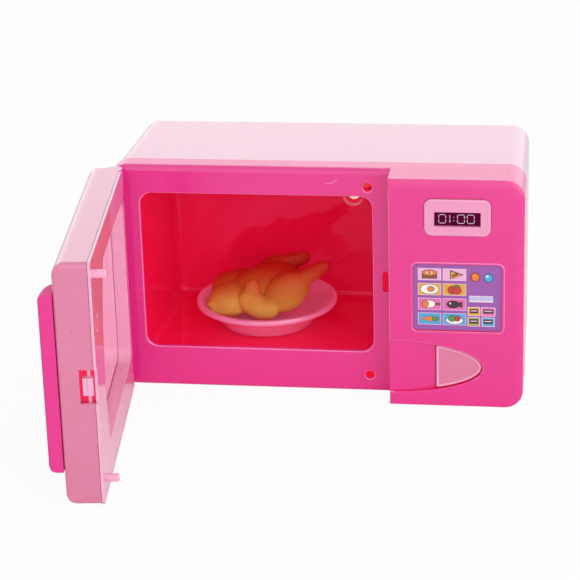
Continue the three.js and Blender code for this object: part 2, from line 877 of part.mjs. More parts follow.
// The door's outer tray and the window's collar; its rear corner at the hinge is the barrel alone
function doorShell() {
  const box = [-barrelRadius, doorFoot, doorX(doorRight), doorTop];
  const outer = roundedSlab(
    box, same(doorCorner), same(doorFaceCorner),
    [doorHingeRound, doorEdgeRound, doorEndRound, doorEdgeRound], doorEdgeRound,
    doorY(doorFace), doorY(trayBack),
  );
  const hollow = roundedSlab(
    [box[0] + trayWall, box[1] + trayWall, box[2] - trayWall, box[3] - trayWall],
    same(doorCorner), same(doorFaceCorner),
    [doorHingeRound - trayWall / 2, doorEdgeRound - trayWall / 2, doorEndRound / 2,
      doorEdgeRound - trayWall / 2], doorEdgeRound - trayWall / 2,
    doorY(doorFace) + trayWall, doorY(trayBack) + overrun,
  );
  const barrel = rod('z', [0, 0], barrelRadius, doorFoot, doorTop, latheSides / 2);
  const paneSeat = doorY(innerPlateBack) - windowLipDepth - paneThickness - 2 * clearance;
  const collarOuter = prism(
    windowOutline(windowLip + clearance + trayWall), 'y', doorY(doorFace) + trayWall / 2,
    doorY(trayBack) - clearance,
  );
  const collarInner = prism(
    windowOutline(windowLip + clearance), 'y', paneSeat, doorY(trayBack) + overrun,
  );
  const opening = prism(windowOutline(0), 'y', doorY(doorFace) - overrun, doorY(trayBack) + overrun);
  const pinBores = lugBottoms.map((bottom) => rod(
    'z', [0, 0], hingePinRadius + clearance, bottom - hingePinGrip - clearance,
    bottom + lugHeight + hingePinGrip + clearance, boreSides,
  ));
  const barrelRoom = block(
    -barrelRadius - overrun, 0, 0, barrelRadius + overrun, 0, bodyHeight,
  );
  const shell = join([cut(outer, [hollow, barrelRoom]), barrel, collarOuter]);
  const catchHole = catchBlock(catchDepth, doorX(doorRight) - trayWall - overrun);
  return cut(shell, [collarInner, opening, ...lugRooms(), ...pinBores, catchHole]);
}

// The door's inner plate with the window lip and the two pegs
function doorInnerPlate() {
  const left = barrelRadius + clearance;
  const sheet = prism(
    rectangle(left, doorFoot, doorX(doorRight), doorTop, same(doorCorner / 2)), 'y',
    doorY(innerPlateFront), doorY(innerPlateBack),
  );
  const lip = prism(
    windowOutline(windowLip), 'y', doorY(innerPlateBack) - windowLipDepth,
    doorY(innerPlateBack) - innerPlateWall / 2,
  );
  const pegs = [pegLowerHeight, pegUpperHeight].map((z) => {
    const base = doorY(innerPlateFront) + innerPlateWall / 2;
    const tip = doorY(innerPlateBack) + doorGap + pegLength;
    const profile = [
      [0, base], [pegRadius, base], [pegRadius, tip - pegRadius / 2],
      [pegRadius * Math.cos(Math.PI / 4), tip - pegRadius / 2 * Math.cos(Math.PI / 4)], [0, tip],
    ];
    return turned(profile, boreSides).rotate([-90, 0, 0]).translate([doorX(pegX), 0, z]);
  });
  const opening = prism(
    windowOutline(0), 'y', doorY(innerPlateBack) - windowLipDepth - overrun,
    doorY(innerPlateBack) + overrun,
  );
  const catchHole = catchBlock(innerPlateWall + overrun, doorX(doorRight) - trayWall);
  return join([cut(join([sheet, lip]), [opening, catchHole]), ...pegs]);
}

function doorWindow() {
  const back = doorY(innerPlateBack) - windowLipDepth - clearance;
  return prism(windowOutline(windowLip), 'y', back - paneThickness, back);
}

// The handle: a bar that is thick at the door's free end and thins towards the window
function doorHandle() {
  const right = doorX(doorRight) - clearance;
  const face = doorY(doorFace) - clearance;
  const section = [
    [right, face], [right - handleWidth, face], [right - handleWidth, face - handleInnerHeight],
    [right - handleMiddle, face - handleMiddleHeight], [right - 2 * handleEdge, face - handleHeight],
    [right - handleEdge, face - handleHeight + handleEdge / 4],
    [right, face - handleHeight + handleEdge],
  ];
  const side = rectangle(
    face - handleHeight, handleBottom, face + handleCorner, handleTop,
    [handleCorner, overrun / 2, overrun / 2, handleCorner],
  );
  return prism(section, 'z', handleBottom, handleTop)
    .intersect(prism(side, 'x', right - handleWidth - overrun, right + overrun));
}

// The snap tongue on its upright leaf, behind the catch opening
function catchTongue() {
  const leafFront = doorX(doorRight) - trayWall - clearance;
  const middle = catchBottom + catchHeight / 2;
  const y1 = doorY(trayBack) - clearance;
  const y0 = y1 - catchDepth / 2;
  const leaf = block(
    leafFront - tongueThickness, leafFront, y0 + tongueThickness, y1 - tongueThickness,
    catchBottom - trayWall, catchBottom + catchHeight + trayWall,
  );
  const tongue = block(
    leafFront - tongueThickness / 2, doorX(doorRight), y0 - tongueThickness / 2, y1,
    middle - tongueHeight / 2, middle + tongueHeight / 2,
  );
  const nose = rod(
    'z', [doorX(doorRight) - tongueThickness + clearance, (y0 + y1) / 2], tongueThickness,
    middle - tongueHeight / 2 + clearance, middle + tongueHeight / 2 - clearance, boreSides,
  );
  return join([leaf, tongue, nose]);
}

function hingePin(bottom) {
  return rod('z', [0, 0], hingePinRadius, bottom - hingePinGrip, bottom + lugHeight + hingePinGrip);
}

// The display's raised frame and the label behind its window
function displayBezel() {
  const [x0, z0] = [panelLeft + displayLeft, displayBottom];
  const front = panelFace - displayProud;
  const body = roundedSlab(
    [x0, z0, x0 + displayWidth, z0 + displayHeight], same(displayCorner),
    same(displayCorner - displayProud / 2), same(displayProud / 2), displayProud / 2,
    front, panelFace + displayPocket - displayLabelThickness,
  );
  const wx = x0 + (displayWidth - displayWindowWidth) / 2;
  const wz = z0 + displayWindowLift;
  const hole = block(
    wx, wx + displayWindowWidth, front - overrun, panelFace + displayPocket + overrun,
    wz, wz + displayWindowHeight,
  );
  return body.subtract(hole);
}

function keypadLabel() {
  const [x0, z0] = [panelLeft + keypadLeft, keypadBottom];
  const back = panelFace + keypadRecess;
  return prism(
    rectangle(x0, z0, x0 + keypadWidth, z0 + keypadHeight, same(keypadCorner)), 'y',
    back - keypadThickness, back,
  );
}

// The release button: its face, a flange that holds it in the panel and a post to the lever
function releaseButton() {
  const start = buttonInset + buttonGap;
  const face = panelFace + buttonSink;
  const back = panelFace + scoopDeep + scoopWall + clearance;
  const faceOutline = scoopOutline(start, -buttonGap);
  const frontOutline = scoopOutline(start + buttonEdge, -buttonGap - buttonEdge);
  const cap = loft([
    { y: face, points: frontOutline },
    { y: face + buttonEdge, points: faceOutline },
    { y: back + buttonFlangeWall / 2, points: faceOutline },
  ]);
  const flange = prism(scoopOutline(start, -buttonGap + buttonFlange), 'y', back, back + buttonFlangeWall);
  const postX = panelLeft + buttonPostOffset;
  const postTip = leverPivotDepth - leverThickness / 2 - clearance;
  const [z0, z1] = [leverBottom, scoopHeight - leverHeight];
  const post = prism([
    [postX - buttonPostWidth / 2, back], [postX + buttonPostWidth / 2, back],
    [postX + buttonPostWidth / 2, postTip - buttonPostTip], [postX + buttonPostTip / 2, postTip],
    [postX - buttonPostTip / 2, postTip], [postX - buttonPostWidth / 2, postTip - buttonPostTip],
  ], 'z', z0, z1);
  return join([cap, flange, post]);
}

function buttonSpring() {
  const from = panelFace + scoopDeep + scoopWall + clearance + buttonFlangeWall + clearance;
  const geometry = spring(
    buttonSpringRadius, buttonSpringWire, buttonSpringTurns, from, carrierSeatDepth - clearance,
  );
  return solid(geometry).translate([panelLeft + buttonSpringOffset, 0, scoopHeight]);
}

// The lever, drawn around its pivot
function releaseLever() {
  const bar = block(
    -leverArm - leverThickness / 2, leverArm + leverThickness / 2, -leverThickness / 2, leverThickness / 2,
    leverBottom, leverBottom + leverHeight,
  );
  const hub = rod('z', [0, 0], leverHubRadius, leverBottom, leverBottom + leverHeight, latheSides / 2);
  const bore = rod(
    'z', [0, 0], leverPinRadius + clearance, leverBottom - overrun, leverBottom + leverHeight + overrun,
    boreSides,
  );
  return join([bar, hub]).subtract(bore);
}

// The lever's pin: a shaft from the carrier's socket up to a head over the lever
function leverPin() {
  const foot = shellWall + clearance + carrierWall / 2;
  const neck = leverBottom + leverHeight + clearance;
  const shaft = rod('z', [pivotX, leverPivotDepth], leverPinRadius, foot, neck + leverPinHeadHeight / 2);
  const head = rod('z', [pivotX, leverPivotDepth], leverPinHead, neck, neck + leverPinHeadHeight);
  return join([shaft, head]);
}

// The carrier: a shelf on the housing's floor, with the lever's boss and the spring's seat
function buttonCarrier() {
  const bottom = shellWall + clearance;
  const top = bottom + carrierWall;
  const [left, right] = [panelLeft + carrierLeft, panelLeft + carrierRight];
  const shelf = block(left, right, carrierFront, carrierBack, bottom, top);
  const boss = rod(
    'z', [pivotX, leverPivotDepth], leverHubRadius, bottom, leverBottom - clearance, boreSides,
  );
  const seatX = panelLeft + buttonSpringOffset;
  const seat = block(
    seatX - carrierSeatWidth / 2, seatX + carrierSeatWidth / 2, carrierSeatDepth,
    carrierSeatDepth + carrierWall, bottom, bottom + carrierSeatHeight,
  );
  const pinBore = rod(
    'z', [pivotX, leverPivotDepth], leverPinRadius + clearance, bottom + carrierWall / 2 - clearance,
    leverBottom + overrun, boreSides,
  );
  const stakeBores = stakePlaces().map(([x, y]) => rod(
    'z', [x, y], stakeRadius + clearance, bottom - overrun, top + overrun, boreSides,
  ));
  return cut(join([shelf, boss, seat]), [pinBore, ...stakeBores]);
}

// The lamp switch and its plunger
function switchBody() {
  const box = block(
    pegX - switchWidth / 2, pegX + switchWidth / 2, switchFront, switchFront + switchDepth,
    switchBottom, switchBottom + switchHeight,
  );
  const bore = rod(
    'y', [pegX, pegUpperHeight], plungerRadius + clearance, switchFront - overrun,
    switchFront + plungerBore, boreSides,
  );
  return box.subtract(bore);
}

function switchPlunger() {
  return rod(
    'y', [pegX, pegUpperHeight], plungerRadius, switchFront - plungerReach + clearance,
    switchFront + plungerBore / 2, boreSides,
  );
}

// The lamp: a cup through the cavity's back wall, with a bulb on a small board
function lampHolder() {
  const front = cavityDepth - lampRingProud;
  const seat = cavityDepth - clearance / 2;
  const back = cavityDepth + lampCupDepth;
  const ledge = lampBore - lampCupWall;
  const profile = [
    [lampMouth, front], [lampRingRadius - lampRingProud / 2, front],
    [lampRingRadius, front + lampRingProud / 2],
    [lampRingRadius, seat], [lampBore, seat], [lampBore, back],
    [ledBaseRadius + clearance, back], [ledBaseRadius + clearance, back - lampCupWall],
    [ledge, back - 2 * lampCupWall], [lampMouth, front + lampRingProud],
  ];
  const closed = [...profile, profile[0]];
  return turned(closed, latheSides).rotate([-90, 0, 0]).translate([lampX, 0, lampHeight]);
}

function lampBulb() {
  const base = cavityDepth + lampCupDepth;
  const profile = [[0, base], [ledBaseRadius, base], [ledBaseRadius, base - lampCupWall]];
  for (let step = 0; step <= roundSteps * 2; step += 1) {
    const angle = step / (roundSteps * 2) * Math.PI / 2;
    const height = base - ledLength + ledRadius * (1 - Math.sin(angle));
    profile.push([ledRadius * Math.cos(angle), height]);
  }
  return turned(profile.reverse(), boreSides).rotate([-90, 0, 0]).translate([lampX, 0, lampHeight]);
}

function lampBoard() {
  const front = cavityDepth + lampCupDepth + clearance;
  return block(
    lampX - lampBoardWidth / 2, lampX + lampBoardWidth / 2, front, front + lampBoardWall,
    lampHeight - lampBoardHeight / 2, lampHeight + lampBoardHeight / 2,
  );
}

// The dish, drawn around the turntable's axis, with a socket for the spindle's head
function dish() {
  const foot = cavityFloor + clearance;
  const rim = foot + dishHeight;
  const ledge = foot + dishLedge;
  const wallTop = rim - dishRimHeight;
  const profile = [
    [0, foot + couplerHeight + clearance], [couplerRadius + clearance, foot + couplerHeight + clearance],
    [couplerRadius + clearance, foot], [dishFootRadius, foot],
    [dishFootRadius + dishWall, ledge / 2 + foot / 2],
    [dishRadius - dishWall, wallTop], [dishRadius, wallTop], [dishRadius, rim - dishRimHeight / 4],
    [dishRadius - dishWall / 2, rim], [dishRadius - 2 * dishWall, rim],
    [dishFootRadius + dishWall, ledge + dishWall], [dishFootRadius - 2 * dishWall, ledge],
    [0, ledge],
  ];
  return turned(profile, latheSides);
}

// The drive spindle: head, shaft and crown gear with its teeth facing down
function driveSpindle() {
  const top = cavityFloor + clearance + couplerHeight;
  const gearBottom = gearTop - gearWall;
  const inner = gearRadius - gearToothLength / 2;
  const outer = gearRadius + gearToothLength / 2;
  const foot = trayTop + clearance;
  const body = turned([
    [0, foot], [spindleRadius, foot], [spindleRadius, gearBottom], [outer, gearBottom], [outer, gearTop],
    [spindleRadius * 2, gearTop], [spindleRadius * 2, gearTop + clearance],
    [couplerRadius - clearance, gearTop + clearance], [couplerRadius - clearance, top], [0, top],
  ], latheSides);
  const tooth = prism([
    [-gearToothWidth / 2, gearBottom + gearWall / 4], [-gearToothWidth / 4, gearBottom - gearToothHeight],
    [gearToothWidth / 4, gearBottom - gearToothHeight], [gearToothWidth / 2, gearBottom + gearWall / 4],
  ], 'x', inner, outer);
  const teeth = Array.from({ length: gearTeeth }, (_, i) => tooth.rotate([0, 0, i * 360 / gearTeeth]));
  return join([body, ...teeth]);
}

// The pinion on the motor's shaft, drawn around its own axis along X
function motorPinion() {
  const core = rod('x', [0, 0], pinionRootRadius, 0, pinionWidth, boreSides);
  const half = pinionToothWidth / 2;
  const root = pinionRootRadius / 2;
  const tip = pinionRootRadius + pinionToothHeight;
  const tooth = prism([[-half, root], [half, root], [half, pinionRootRadius], [half / 2, tip],
    [-half / 2, tip], [-half, pinionRootRadius]], 'x', 0, pinionWidth);
  const teeth = Array.from({ length: pinionTeeth }, (_, i) => (
    tooth.rotate([(i + 1 / 2) * 360 / pinionTeeth, 0, 0])
  ));
  const shaft = rod(
    'x', [0, 0], motorShaftRadius, pinionWidth / 2, pinionReach() + motorShaftGrip, boreSides,
  );
  return join([core, ...teeth, shaft]);
}

// The way from the pinion's outer face to the motor
function pinionReach() {
  return motorLeft - (turntableX + gearRadius - pinionWidth / 2);
}

// The motor: a flattened can with a bore for the pinion's shaft
function driveMotor() {
  const [y0, y1] = [turntableY - motorWidth / 2, turntableY + motorWidth / 2];
  const [z0, z1] = [pinionAxisHeight - motorHeight / 2, pinionAxisHeight + motorHeight / 2];
  const outline = rectangle(y0, z0, y1, z1, same(motorHeight / 3));
  const can = prism(outline, 'x', motorLeft, motorLeft + motorLength);
  const bore = rod(
    'x', [turntableY, pinionAxisHeight], motorShaftRadius + clearance, motorLeft - overrun,
    motorLeft + motorShaftGrip + clearance, boreSides,
  );
  return can.subtract(bore);
}

// The drive's bracket: a tray under the cavity with the spindle's bearing and the motor's cheeks
function driveBracket() {
  const bottom = shellWall + clearance;
  const [left, right, front, back] = bracketEdges();
  const tray = block(left, right, front, back, bottom, trayTop);
  const bearing = rod(
    'z', [turntableX, turntableY], bearingRadius, bottom, trayTop + bearingHeight, boreSides,
  );
  const bearingBore = rod(
    'z', [turntableX, turntableY], spindleRadius + clearance, trayTop,
    trayTop + bearingHeight + overrun, boreSides,
  );
  const cheeks = [-1, 1].map((side) => {
    const near = turntableY + side * (motorWidth / 2 + clearance);
    const far = near + side * bracketWall;
    return block(
      motorLeft, right, Math.min(near, far), Math.max(near, far), bottom, pinionAxisHeight,
    );
  });
  const posts = bracketPosts().map(([x, y]) => rod(
    'z', [x, y], bracketPostRadius, bottom, cavityFloor - linerWall - clearance, boreSides,
  ));
  const bores = bracketPosts().map(([x, y]) => rod(
    'z', [x, y], screwRadius + clearance, bottom - overrun, cavityFloor, boreSides,
  ));
  return cut(join([tray, bearing, ...cheeks, ...posts]), [bearingBore, ...bores]);
}

function bracketEdges() {
  const right = motorLeft + motorLength;
  return [
    right - bracketLength, right, turntableY - bracketWidth / 2, turntableY + bracketWidth / 2,
  ];
}

function bracketPosts() {
  const [left, right, front, back] = bracketEdges();
  const inset = bracketPostRadius;
  return [[left + inset, front + inset], [right - inset, back - inset]];
}

// A bracket screw from below, its tip short of the cavity's floor
function bracketScrew(x, y) {
  const seat = shellWall + clearance;
  return rod('z', [x, y], screwRadius, seat, cavityFloor - linerWall - 2 * clearance, boreSides);
}

// One ellipsoid of the chicken: its centre and half sizes as shares of the bird, and its tilt
function birdBall(centreShares, halfShares, tilt) {
  const geometry = new THREE.SphereGeometry(1, birdSides, birdRings);
  const scale = [birdLength, birdWidth, birdHeight];
  geometry.scale(...halfShares.map((share, i) => share * scale[i]));
  geometry.rotateY(tilt);
  geometry.translate(...centreShares.map((share, i) => share * scale[i]));
  return solid(geometry);
}

// The room above the dish: what lies outside it is cut from the chicken
function dishSurround() {
  const foot = cavityFloor + clearance;
  const ledge = foot + dishLedge + clearance;
  const rim = foot + dishHeight + clearance;
  const wide = dishRadius + birdLength;
  return turned([
    [0, 0], [wide, 0], [wide, rim], [dishRadius - 2 * dishWall, rim],
    [dishFootRadius + dishWall, ledge + dishWall], [dishFootRadius - 2 * dishWall, ledge], [0, ledge],
  ], latheSides);
}

// The roast chicken: breast to the left, drumsticks raised to the right and folded wings
function chicken() {
  const ballShares = [
    [[-0.02, 0.056, 0.455], [0.33, 0.389, 0.432], -0.35],
    [[-0.28, -0.185, 0.318], [0.186, 0.304, 0.327], -0.15],
    [[-0.29, 0.222, 0.364], [0.18, 0.278, 0.318], 0],
    [[0.18, -0.278, 0.545], [0.21, 0.215, 0.341], -0.7],
    [[0.36, -0.252, 0.877], [0.19, 0.13, 0.177], -0.55],
    [[0.488, -0.233, 1.045], [0.054, 0.1, 0.118], -0.5],
    [[0.06, 0.296, 0.605], [0.19, 0.185, 0.377], -0.4],
    [[0.19, 0.296, 0.9], [0.156, 0.111, 0.145], -0.2],
    [[0.284, 0.296, 0.977], [0.05, 0.093, 0.109], -0.2],
    [[-0.1, -0.352, 0.5], [0.058, 0.104, 0.332], 0.15],
    [[-0.018, -0.444, 0.25], [0.116, 0.111, 0.164], 0.15],
    [[-0.26, 0.407, 0.455], [0.12, 0.096, 0.2], -0.3],
    [[-0.3, -0.352, 0.218], [0.148, 0.122, 0.118], 0],
  ];
  const seat = cavityFloor + clearance + dishLedge;
  const balls = ballShares.map((share) => birdBall(...share));
  return join(balls).translate([0, 0, seat]).subtract(dishSurround());
}

// The battery box: an open tray with a boss for the hatch screw
function batteryBox() {
  const back = backInside - clearance;
  const front = back - boxDepth;
  const halfWidth = (2 * cellRadius + cellSpacing) / 2 + clearance + boxWall;
  const outer = block(boxX - halfWidth, boxX + halfWidth, front, back, boxBottom, boxBottom + boxHeight);
  const inner = block(
    boxX - halfWidth + boxWall, boxX + halfWidth - boxWall, front + boxWall, back + overrun,
    boxBottom + boxWall, boxBottom + boxHeight - boxWall,
  );
  const bossHeight = boxBottom + boxHeight + hatchBossLift;
  const boss = rod('y', [boxX, bossHeight], hatchBossRadius, back - hatchBossLength, back, boreSides);
  const bore = rod(
    'y', [boxX, bossHeight], screwRadius + clearance, back - hatchBossLength + boxWall, back + overrun,
    boreSides,
  );
  return cut(join([outer, boss]), [inner, bore]);
}

function cellPlaces() {
  const y = backInside - clearance - boxBackGap - cellRadius;
  return [[boxX - cellSpacing / 2, y], [boxX + cellSpacing / 2, y]];
}

// One cell, drawn upright from its flat end, turned over for the second place
function cell(place, flipped) {
  const lift = boxBottom + boxWall + clearance + bridgeWall + (flipped ? cellSpringLength() : 0);
  const profile = [
    [0, 0], [cellRadius, 0], [cellRadius, cellLength - cellNubHeight],
    [cellNubRadius, cellLength - cellNubHeight], [cellNubRadius, cellLength], [0, cellLength],
  ];
  const body = turned(profile, latheSides / 2);
  const placed = flipped ? body : body.rotate([180, 0, 0]).translate([0, 0, cellLength]);
  return placed.translate([place[0], place[1], lift]);
}

function cellSpringLength() {
  const room = boxHeight - 2 * boxWall - cellLength - 2 * (clearance + bridgeWall);
  return room - clearance;
}

// A cell's spring, standing at the cell's flat end
function cellSpring(place, below) {
  const geometry = spring(
    cellSpringRadius, cellSpringWire, cellSpringTurns, 0, cellSpringLength() - clearance,
  );
  geometry.rotateX(Math.PI / 2);
  const floor = boxBottom + boxWall + clearance + bridgeWall;
  const z = below ? floor : floor + cellLength + clearance;
  return solid(geometry).translate([place[0], place[1], z]);
}

// A contact strip across both cells, at one end of the box
function contactStrip(atTop) {
  const y = cellPlaces()[0][1];
  const halfWidth = (2 * cellRadius + cellSpacing) / 2 - cellNubRadius;
  const z0 = atTop ? boxBottom + boxHeight - boxWall - bridgeWall : boxBottom + boxWall;
  return block(
    boxX - halfWidth, boxX + halfWidth, y - cellNubRadius, y + cellNubRadius, z0, z0 + bridgeWall,
  );
}

// The battery hatch with two tabs that hook under the back wall
function batteryHatch() {
  const plate = prism(hatchOutline(0), 'y', backInside, bodyDepth);
  const tabBack = backInside - clearance;
  const tabs = [-1, 1].flatMap((side) => {
    const x = boxX + side * hatchWidth / 4;
    const [x0, x1] = [x - hatchTabWidth / 2, x + hatchTabWidth / 2];
    return [
      block(x0, x1, tabBack - hatchTabWall, backInside + overrun / 2, hatchBottom,
        hatchBottom + hatchTabWall),
      block(x0, x1, tabBack - hatchTabWall, tabBack, hatchBottom - hatchTabReach,
        hatchBottom + hatchTabWall),
    ];
  });
  const bossHeight = boxBottom + boxHeight + hatchBossLift;
  const bore = rod(
    'y', [boxX, bossHeight], screwRadius + clearance, backInside - overrun, bodyDepth + overrun, boreSides,
  );
  const sink = rod(
    'y', [boxX, bossHeight], screwHeadRadius + clearance, bodyDepth - screwSlotDepth, bodyDepth + overrun,
    boreSides,
  );
  return cut(join([plate, ...tabs]), [bore, sink]);
}

function hatchScrew() {
  const bossHeight = boxBottom + boxHeight + hatchBossLift;
  return screw(
    boxX, bossHeight, bodyDepth - screwSlotDepth + clearance / 2, screwRadius, hatchBossLength,
    screwHeadRadius, screwHeadHeight / 2,
  );
}

// The sound board on its two posts, its speaker towards the panel
function soundBoard() {
  const y = panelInside + boardPostLength + clearance;
  const [x0, z0] = [panelLeft + boardLeft, boardBottom];
  const board = block(x0, x0 + boardWidth, y, y + boardWall, z0, z0 + boardHeight);
  const bores = boardPosts().map(([x, z]) => rod(
    'y', [x, z], boardScrewRadius + clearance, y - overrun, y + boardWall + overrun, boreSides,
  ));
  return cut(board, bores);
}

function speaker() {
  const y = panelInside + boardPostLength;
  const [x, z] = [panelLeft + boardLeft + boardWidth / 2, boardBottom + boardHeight / 2];
  return rod('y', [x, z], speakerRadius, y - speakerDepth, y, latheSides / 2);
}

// The whole oven: fixed parts, then the parts that move
const toyMicrowave = new THREE.Group();
const oven = new THREE.Group();
oven.position.y = -bodyMiddleY;
toyMicrowave.add(oven);

oven.add(
  piece('front_housing', frontHousing(), hotPink, 0.32),
  piece('cavity_liner', cavityLiner(), cavityPink, 0.25),
  piece('rear_cover', rearCover(), palePink, 0.38),
  piece('display_bezel', displayBezel(), palePink, 0.35),
  piece('display_label', displayLabelBlock(0, 0, 0), 0x1d2024, 0.3),
  piece('keypad_label', keypadLabel(), 0xa05ca8, 0.35),
  piece('lamp_holder', lampHolder(), cavityPink, 0.25),
  piece('lamp_bulb', lampBulb(), 0xf2ece2, 0.1),
  piece('lamp_board', lampBoard(), 0x2f6b45, 0.5),
  piece('lamp_switch', switchBody(), 0x2a2a2c, 0.5),
  piece('drive_bracket', driveBracket(), ivory, 0.5),
  piece('drive_motor', driveMotor(), steel, 0.35, 1),
  piece('button_carrier', buttonCarrier(), ivory, 0.5),
  piece('button_spring', buttonSpring(), steel, 0.3, 1),
  piece('lever_pin', leverPin(), steel, 0.3, 1),
  piece('battery_box', batteryBox(), 0x2a2a2c, 0.5),
  piece('battery_hatch', batteryHatch(), palePink, 0.38),
  piece('battery_hatch_screw', hatchScrew(), steel, 0.3, 1),
  piece('sound_board', soundBoard(), 0x2f6b45, 0.5),
  piece('speaker', speaker(), 0xc9a45c, 0.4, 1),
);

wellPlaces().forEach(([x, z], i) => {
  const body = screw(
    x, z, wellFloorDepth + clearance, screwRadius, screwLength, screwHeadRadius, screwHeadHeight,
  );
  oven.add(piece(`case_screw_${i + 1}`, body, steel, 0.3, 1));
});

boardPosts().forEach(([x, z], i) => {
  const seat = panelInside + boardPostLength + clearance + boardWall + clearance;
  const body = screw(
    x, z, seat, boardScrewRadius, boardScrewLength, boardScrewHead, boardScrewHeadHeight,
  );
  oven.add(piece(`board_screw_${i + 1}`, body, steel, 0.3, 1));
});

bracketPosts().forEach(([x, y], i) => {
  oven.add(piece(`bracket_screw_${i + 1}`, bracketScrew(x, y), steel, 0.3, 1));
});

cellPlaces().forEach((place, i) => {
  oven.add(
    piece(`cell_${i + 1}`, cell(place, i === 0), 0x3a4a78, 0.35),
    piece(`cell_spring_${i + 1}`, cellSpring(place, i === 0), steel, 0.3, 1),
  );
});
oven.add(
  piece('contact_strip_top', contactStrip(true), steel, 0.3, 1),
  piece('contact_strip_bottom', contactStrip(false), steel, 0.3, 1),
);

// Door, turned open about its hinge
const door = new THREE.Group();
door.position.set(hingeX, hingeY, 0);
door.rotation.z = -THREE.MathUtils.degToRad(doorOpenAngle);
door.add(
  piece('door_shell', doorShell(), doorPink, 0.34),
  piece('door_inner_plate', doorInnerPlate(), doorPink, 0.2),
  piece('door_window', doorWindow(), 0xf5b6cf, 0.08),
  piece('door_handle', doorHandle(), hotPink, 0.32),
  piece('door_catch', catchTongue(), palePink, 0.35),
);
lugBottoms.forEach((bottom, i) => {
  door.add(piece(`hinge_pin_${i + 1}`, hingePin(bottom), steel, 0.3, 1));
});
oven.add(door);

// Release button and the lever that it turns
const lever = new THREE.Group();
lever.position.set(pivotX, leverPivotDepth, 0);
lever.add(piece('release_lever', releaseLever(), ivory, 0.5));
oven.add(lever, piece('release_button', releaseButton(), doorPink, 0.34));
oven.add(piece('switch_plunger', switchPlunger(), ivory, 0.4));

// Turntable: spindle, dish and chicken on one axis, and the pinion that drives them
const turntable = new THREE.Group();
turntable.position.set(turntableX, turntableY, 0);
turntable.add(
  piece('drive_spindle', driveSpindle(), ivory, 0.45),
  piece('dish', dish(), 0xf29dbe, 0.3),
  piece('chicken', chicken(), 0xc98a3a, 0.35),
);
const pinion = new THREE.Group();
pinion.position.set(turntableX + gearRadius - pinionWidth / 2, turntableY, pinionAxisHeight);
pinion.add(piece('motor_pinion', motorPinion(), 0xc9a45c, 0.3, 1));
oven.add(turntable, pinion);

export default toyMicrowave;
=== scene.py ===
import json
import math

import bpy
from mathutils import Matrix, Vector


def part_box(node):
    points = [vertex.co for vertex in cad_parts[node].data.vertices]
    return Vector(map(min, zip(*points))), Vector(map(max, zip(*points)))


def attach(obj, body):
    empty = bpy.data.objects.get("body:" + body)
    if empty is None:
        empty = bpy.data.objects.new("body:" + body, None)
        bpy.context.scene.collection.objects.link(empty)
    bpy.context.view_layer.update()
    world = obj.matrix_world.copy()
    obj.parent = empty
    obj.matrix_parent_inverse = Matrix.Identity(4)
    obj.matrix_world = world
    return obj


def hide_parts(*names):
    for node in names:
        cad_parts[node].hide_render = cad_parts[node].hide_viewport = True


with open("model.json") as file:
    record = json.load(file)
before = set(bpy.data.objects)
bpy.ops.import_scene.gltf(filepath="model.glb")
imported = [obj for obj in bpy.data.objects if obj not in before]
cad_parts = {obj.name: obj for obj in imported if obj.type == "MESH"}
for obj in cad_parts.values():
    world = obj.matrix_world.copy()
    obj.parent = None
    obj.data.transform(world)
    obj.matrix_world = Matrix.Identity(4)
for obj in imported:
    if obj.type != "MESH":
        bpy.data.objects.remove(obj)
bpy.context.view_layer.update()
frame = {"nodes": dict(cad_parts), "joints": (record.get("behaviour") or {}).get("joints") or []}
print("frame loaded:", len(frame["nodes"]), "nodes")

# Sizes are millimetres in the oven's own frame: x from its middle, y back from the frame's face, z up
mm = 0.001
touch = 0.05  # a point this near to a plane counts as in it
over = 1  # how far a cutting tool runs past what it cuts
faceWall = 2
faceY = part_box("cavity_liner")[0].y / mm - faceWall
doorJoint = next(joint for joint in frame["joints"] if joint["name"] == "door_hinge")
hingeX = doorJoint["pos_m"][0] / mm
hingeY = doorJoint["pos_m"][1] / mm - faceY
openAngle = math.radians(doorJoint["range_deg"][1])  # how far the door stands open at rest


def at(x, y, z):
    return Vector((x, y + faceY, z)) * mm


def inMm(point):
    return point.x / mm, point.y / mm - faceY, point.z / mm


# A span made longer, or shorter, by the same amount at both ends
def widen(span, by):
    return span[0] - by, span[1] + by


# Camera: its turns in degrees and its focal length in pixels of the square picture
camera = {"place": (106.47, -777.82, 341.19), "yaw": 8.56, "down": 20.83, "roll": -1.64,
          "focalPixels": 2172.2, "imagePixels": 580, "sensor": 36, "near": 0.05, "far": 20}


def deselect():
    bpy.ops.object.select_all(action="DESELECT")


def makeCamera():
    c = camera
    deselect()
    bpy.ops.object.camera_add(location=at(*c["place"]))
    eye = bpy.context.object
    eye.name = "camera"
    yaw, tilt, roll = (Matrix.Rotation(math.radians(angle), 4, axis)
                       for axis, angle in (("Z", c["yaw"]), ("X", 90 - c["down"]), ("Z", c["roll"])))
    eye.rotation_euler = (yaw @ tilt @ roll).to_euler()
    eye.data.sensor_width = c["sensor"]
    eye.data.lens = c["sensor"] * c["focalPixels"] / c["imagePixels"]
    eye.data.clip_start = c["near"]
    eye.data.clip_end = c["far"]
    bpy.context.scene.camera = eye


makeCamera()


# Materials


def linear(hexColour):
    parts = [int(hexColour[i:i + 2], 16) / 255 for i in (1, 3, 5)]
    return [p / 12.92 if p <= 0.04045 else ((p + 0.055) / 1.055) ** 2.4 for p in parts] + [1]


def setSockets(node, values):
    for name, value in values.items():
        node.inputs[name].default_value = value


def linkSockets(tree, node, links):
    for name, socket in links.items():
        tree.links.new(socket, node.inputs[name])


def addNode(tree, kind, values=None, links=None, **settings):
    node = tree.nodes.new(kind)
    for name, value in settings.items():
        setattr(node, name, value)
    setSockets(node, values or {})
    linkSockets(tree, node, links or {})
    return node


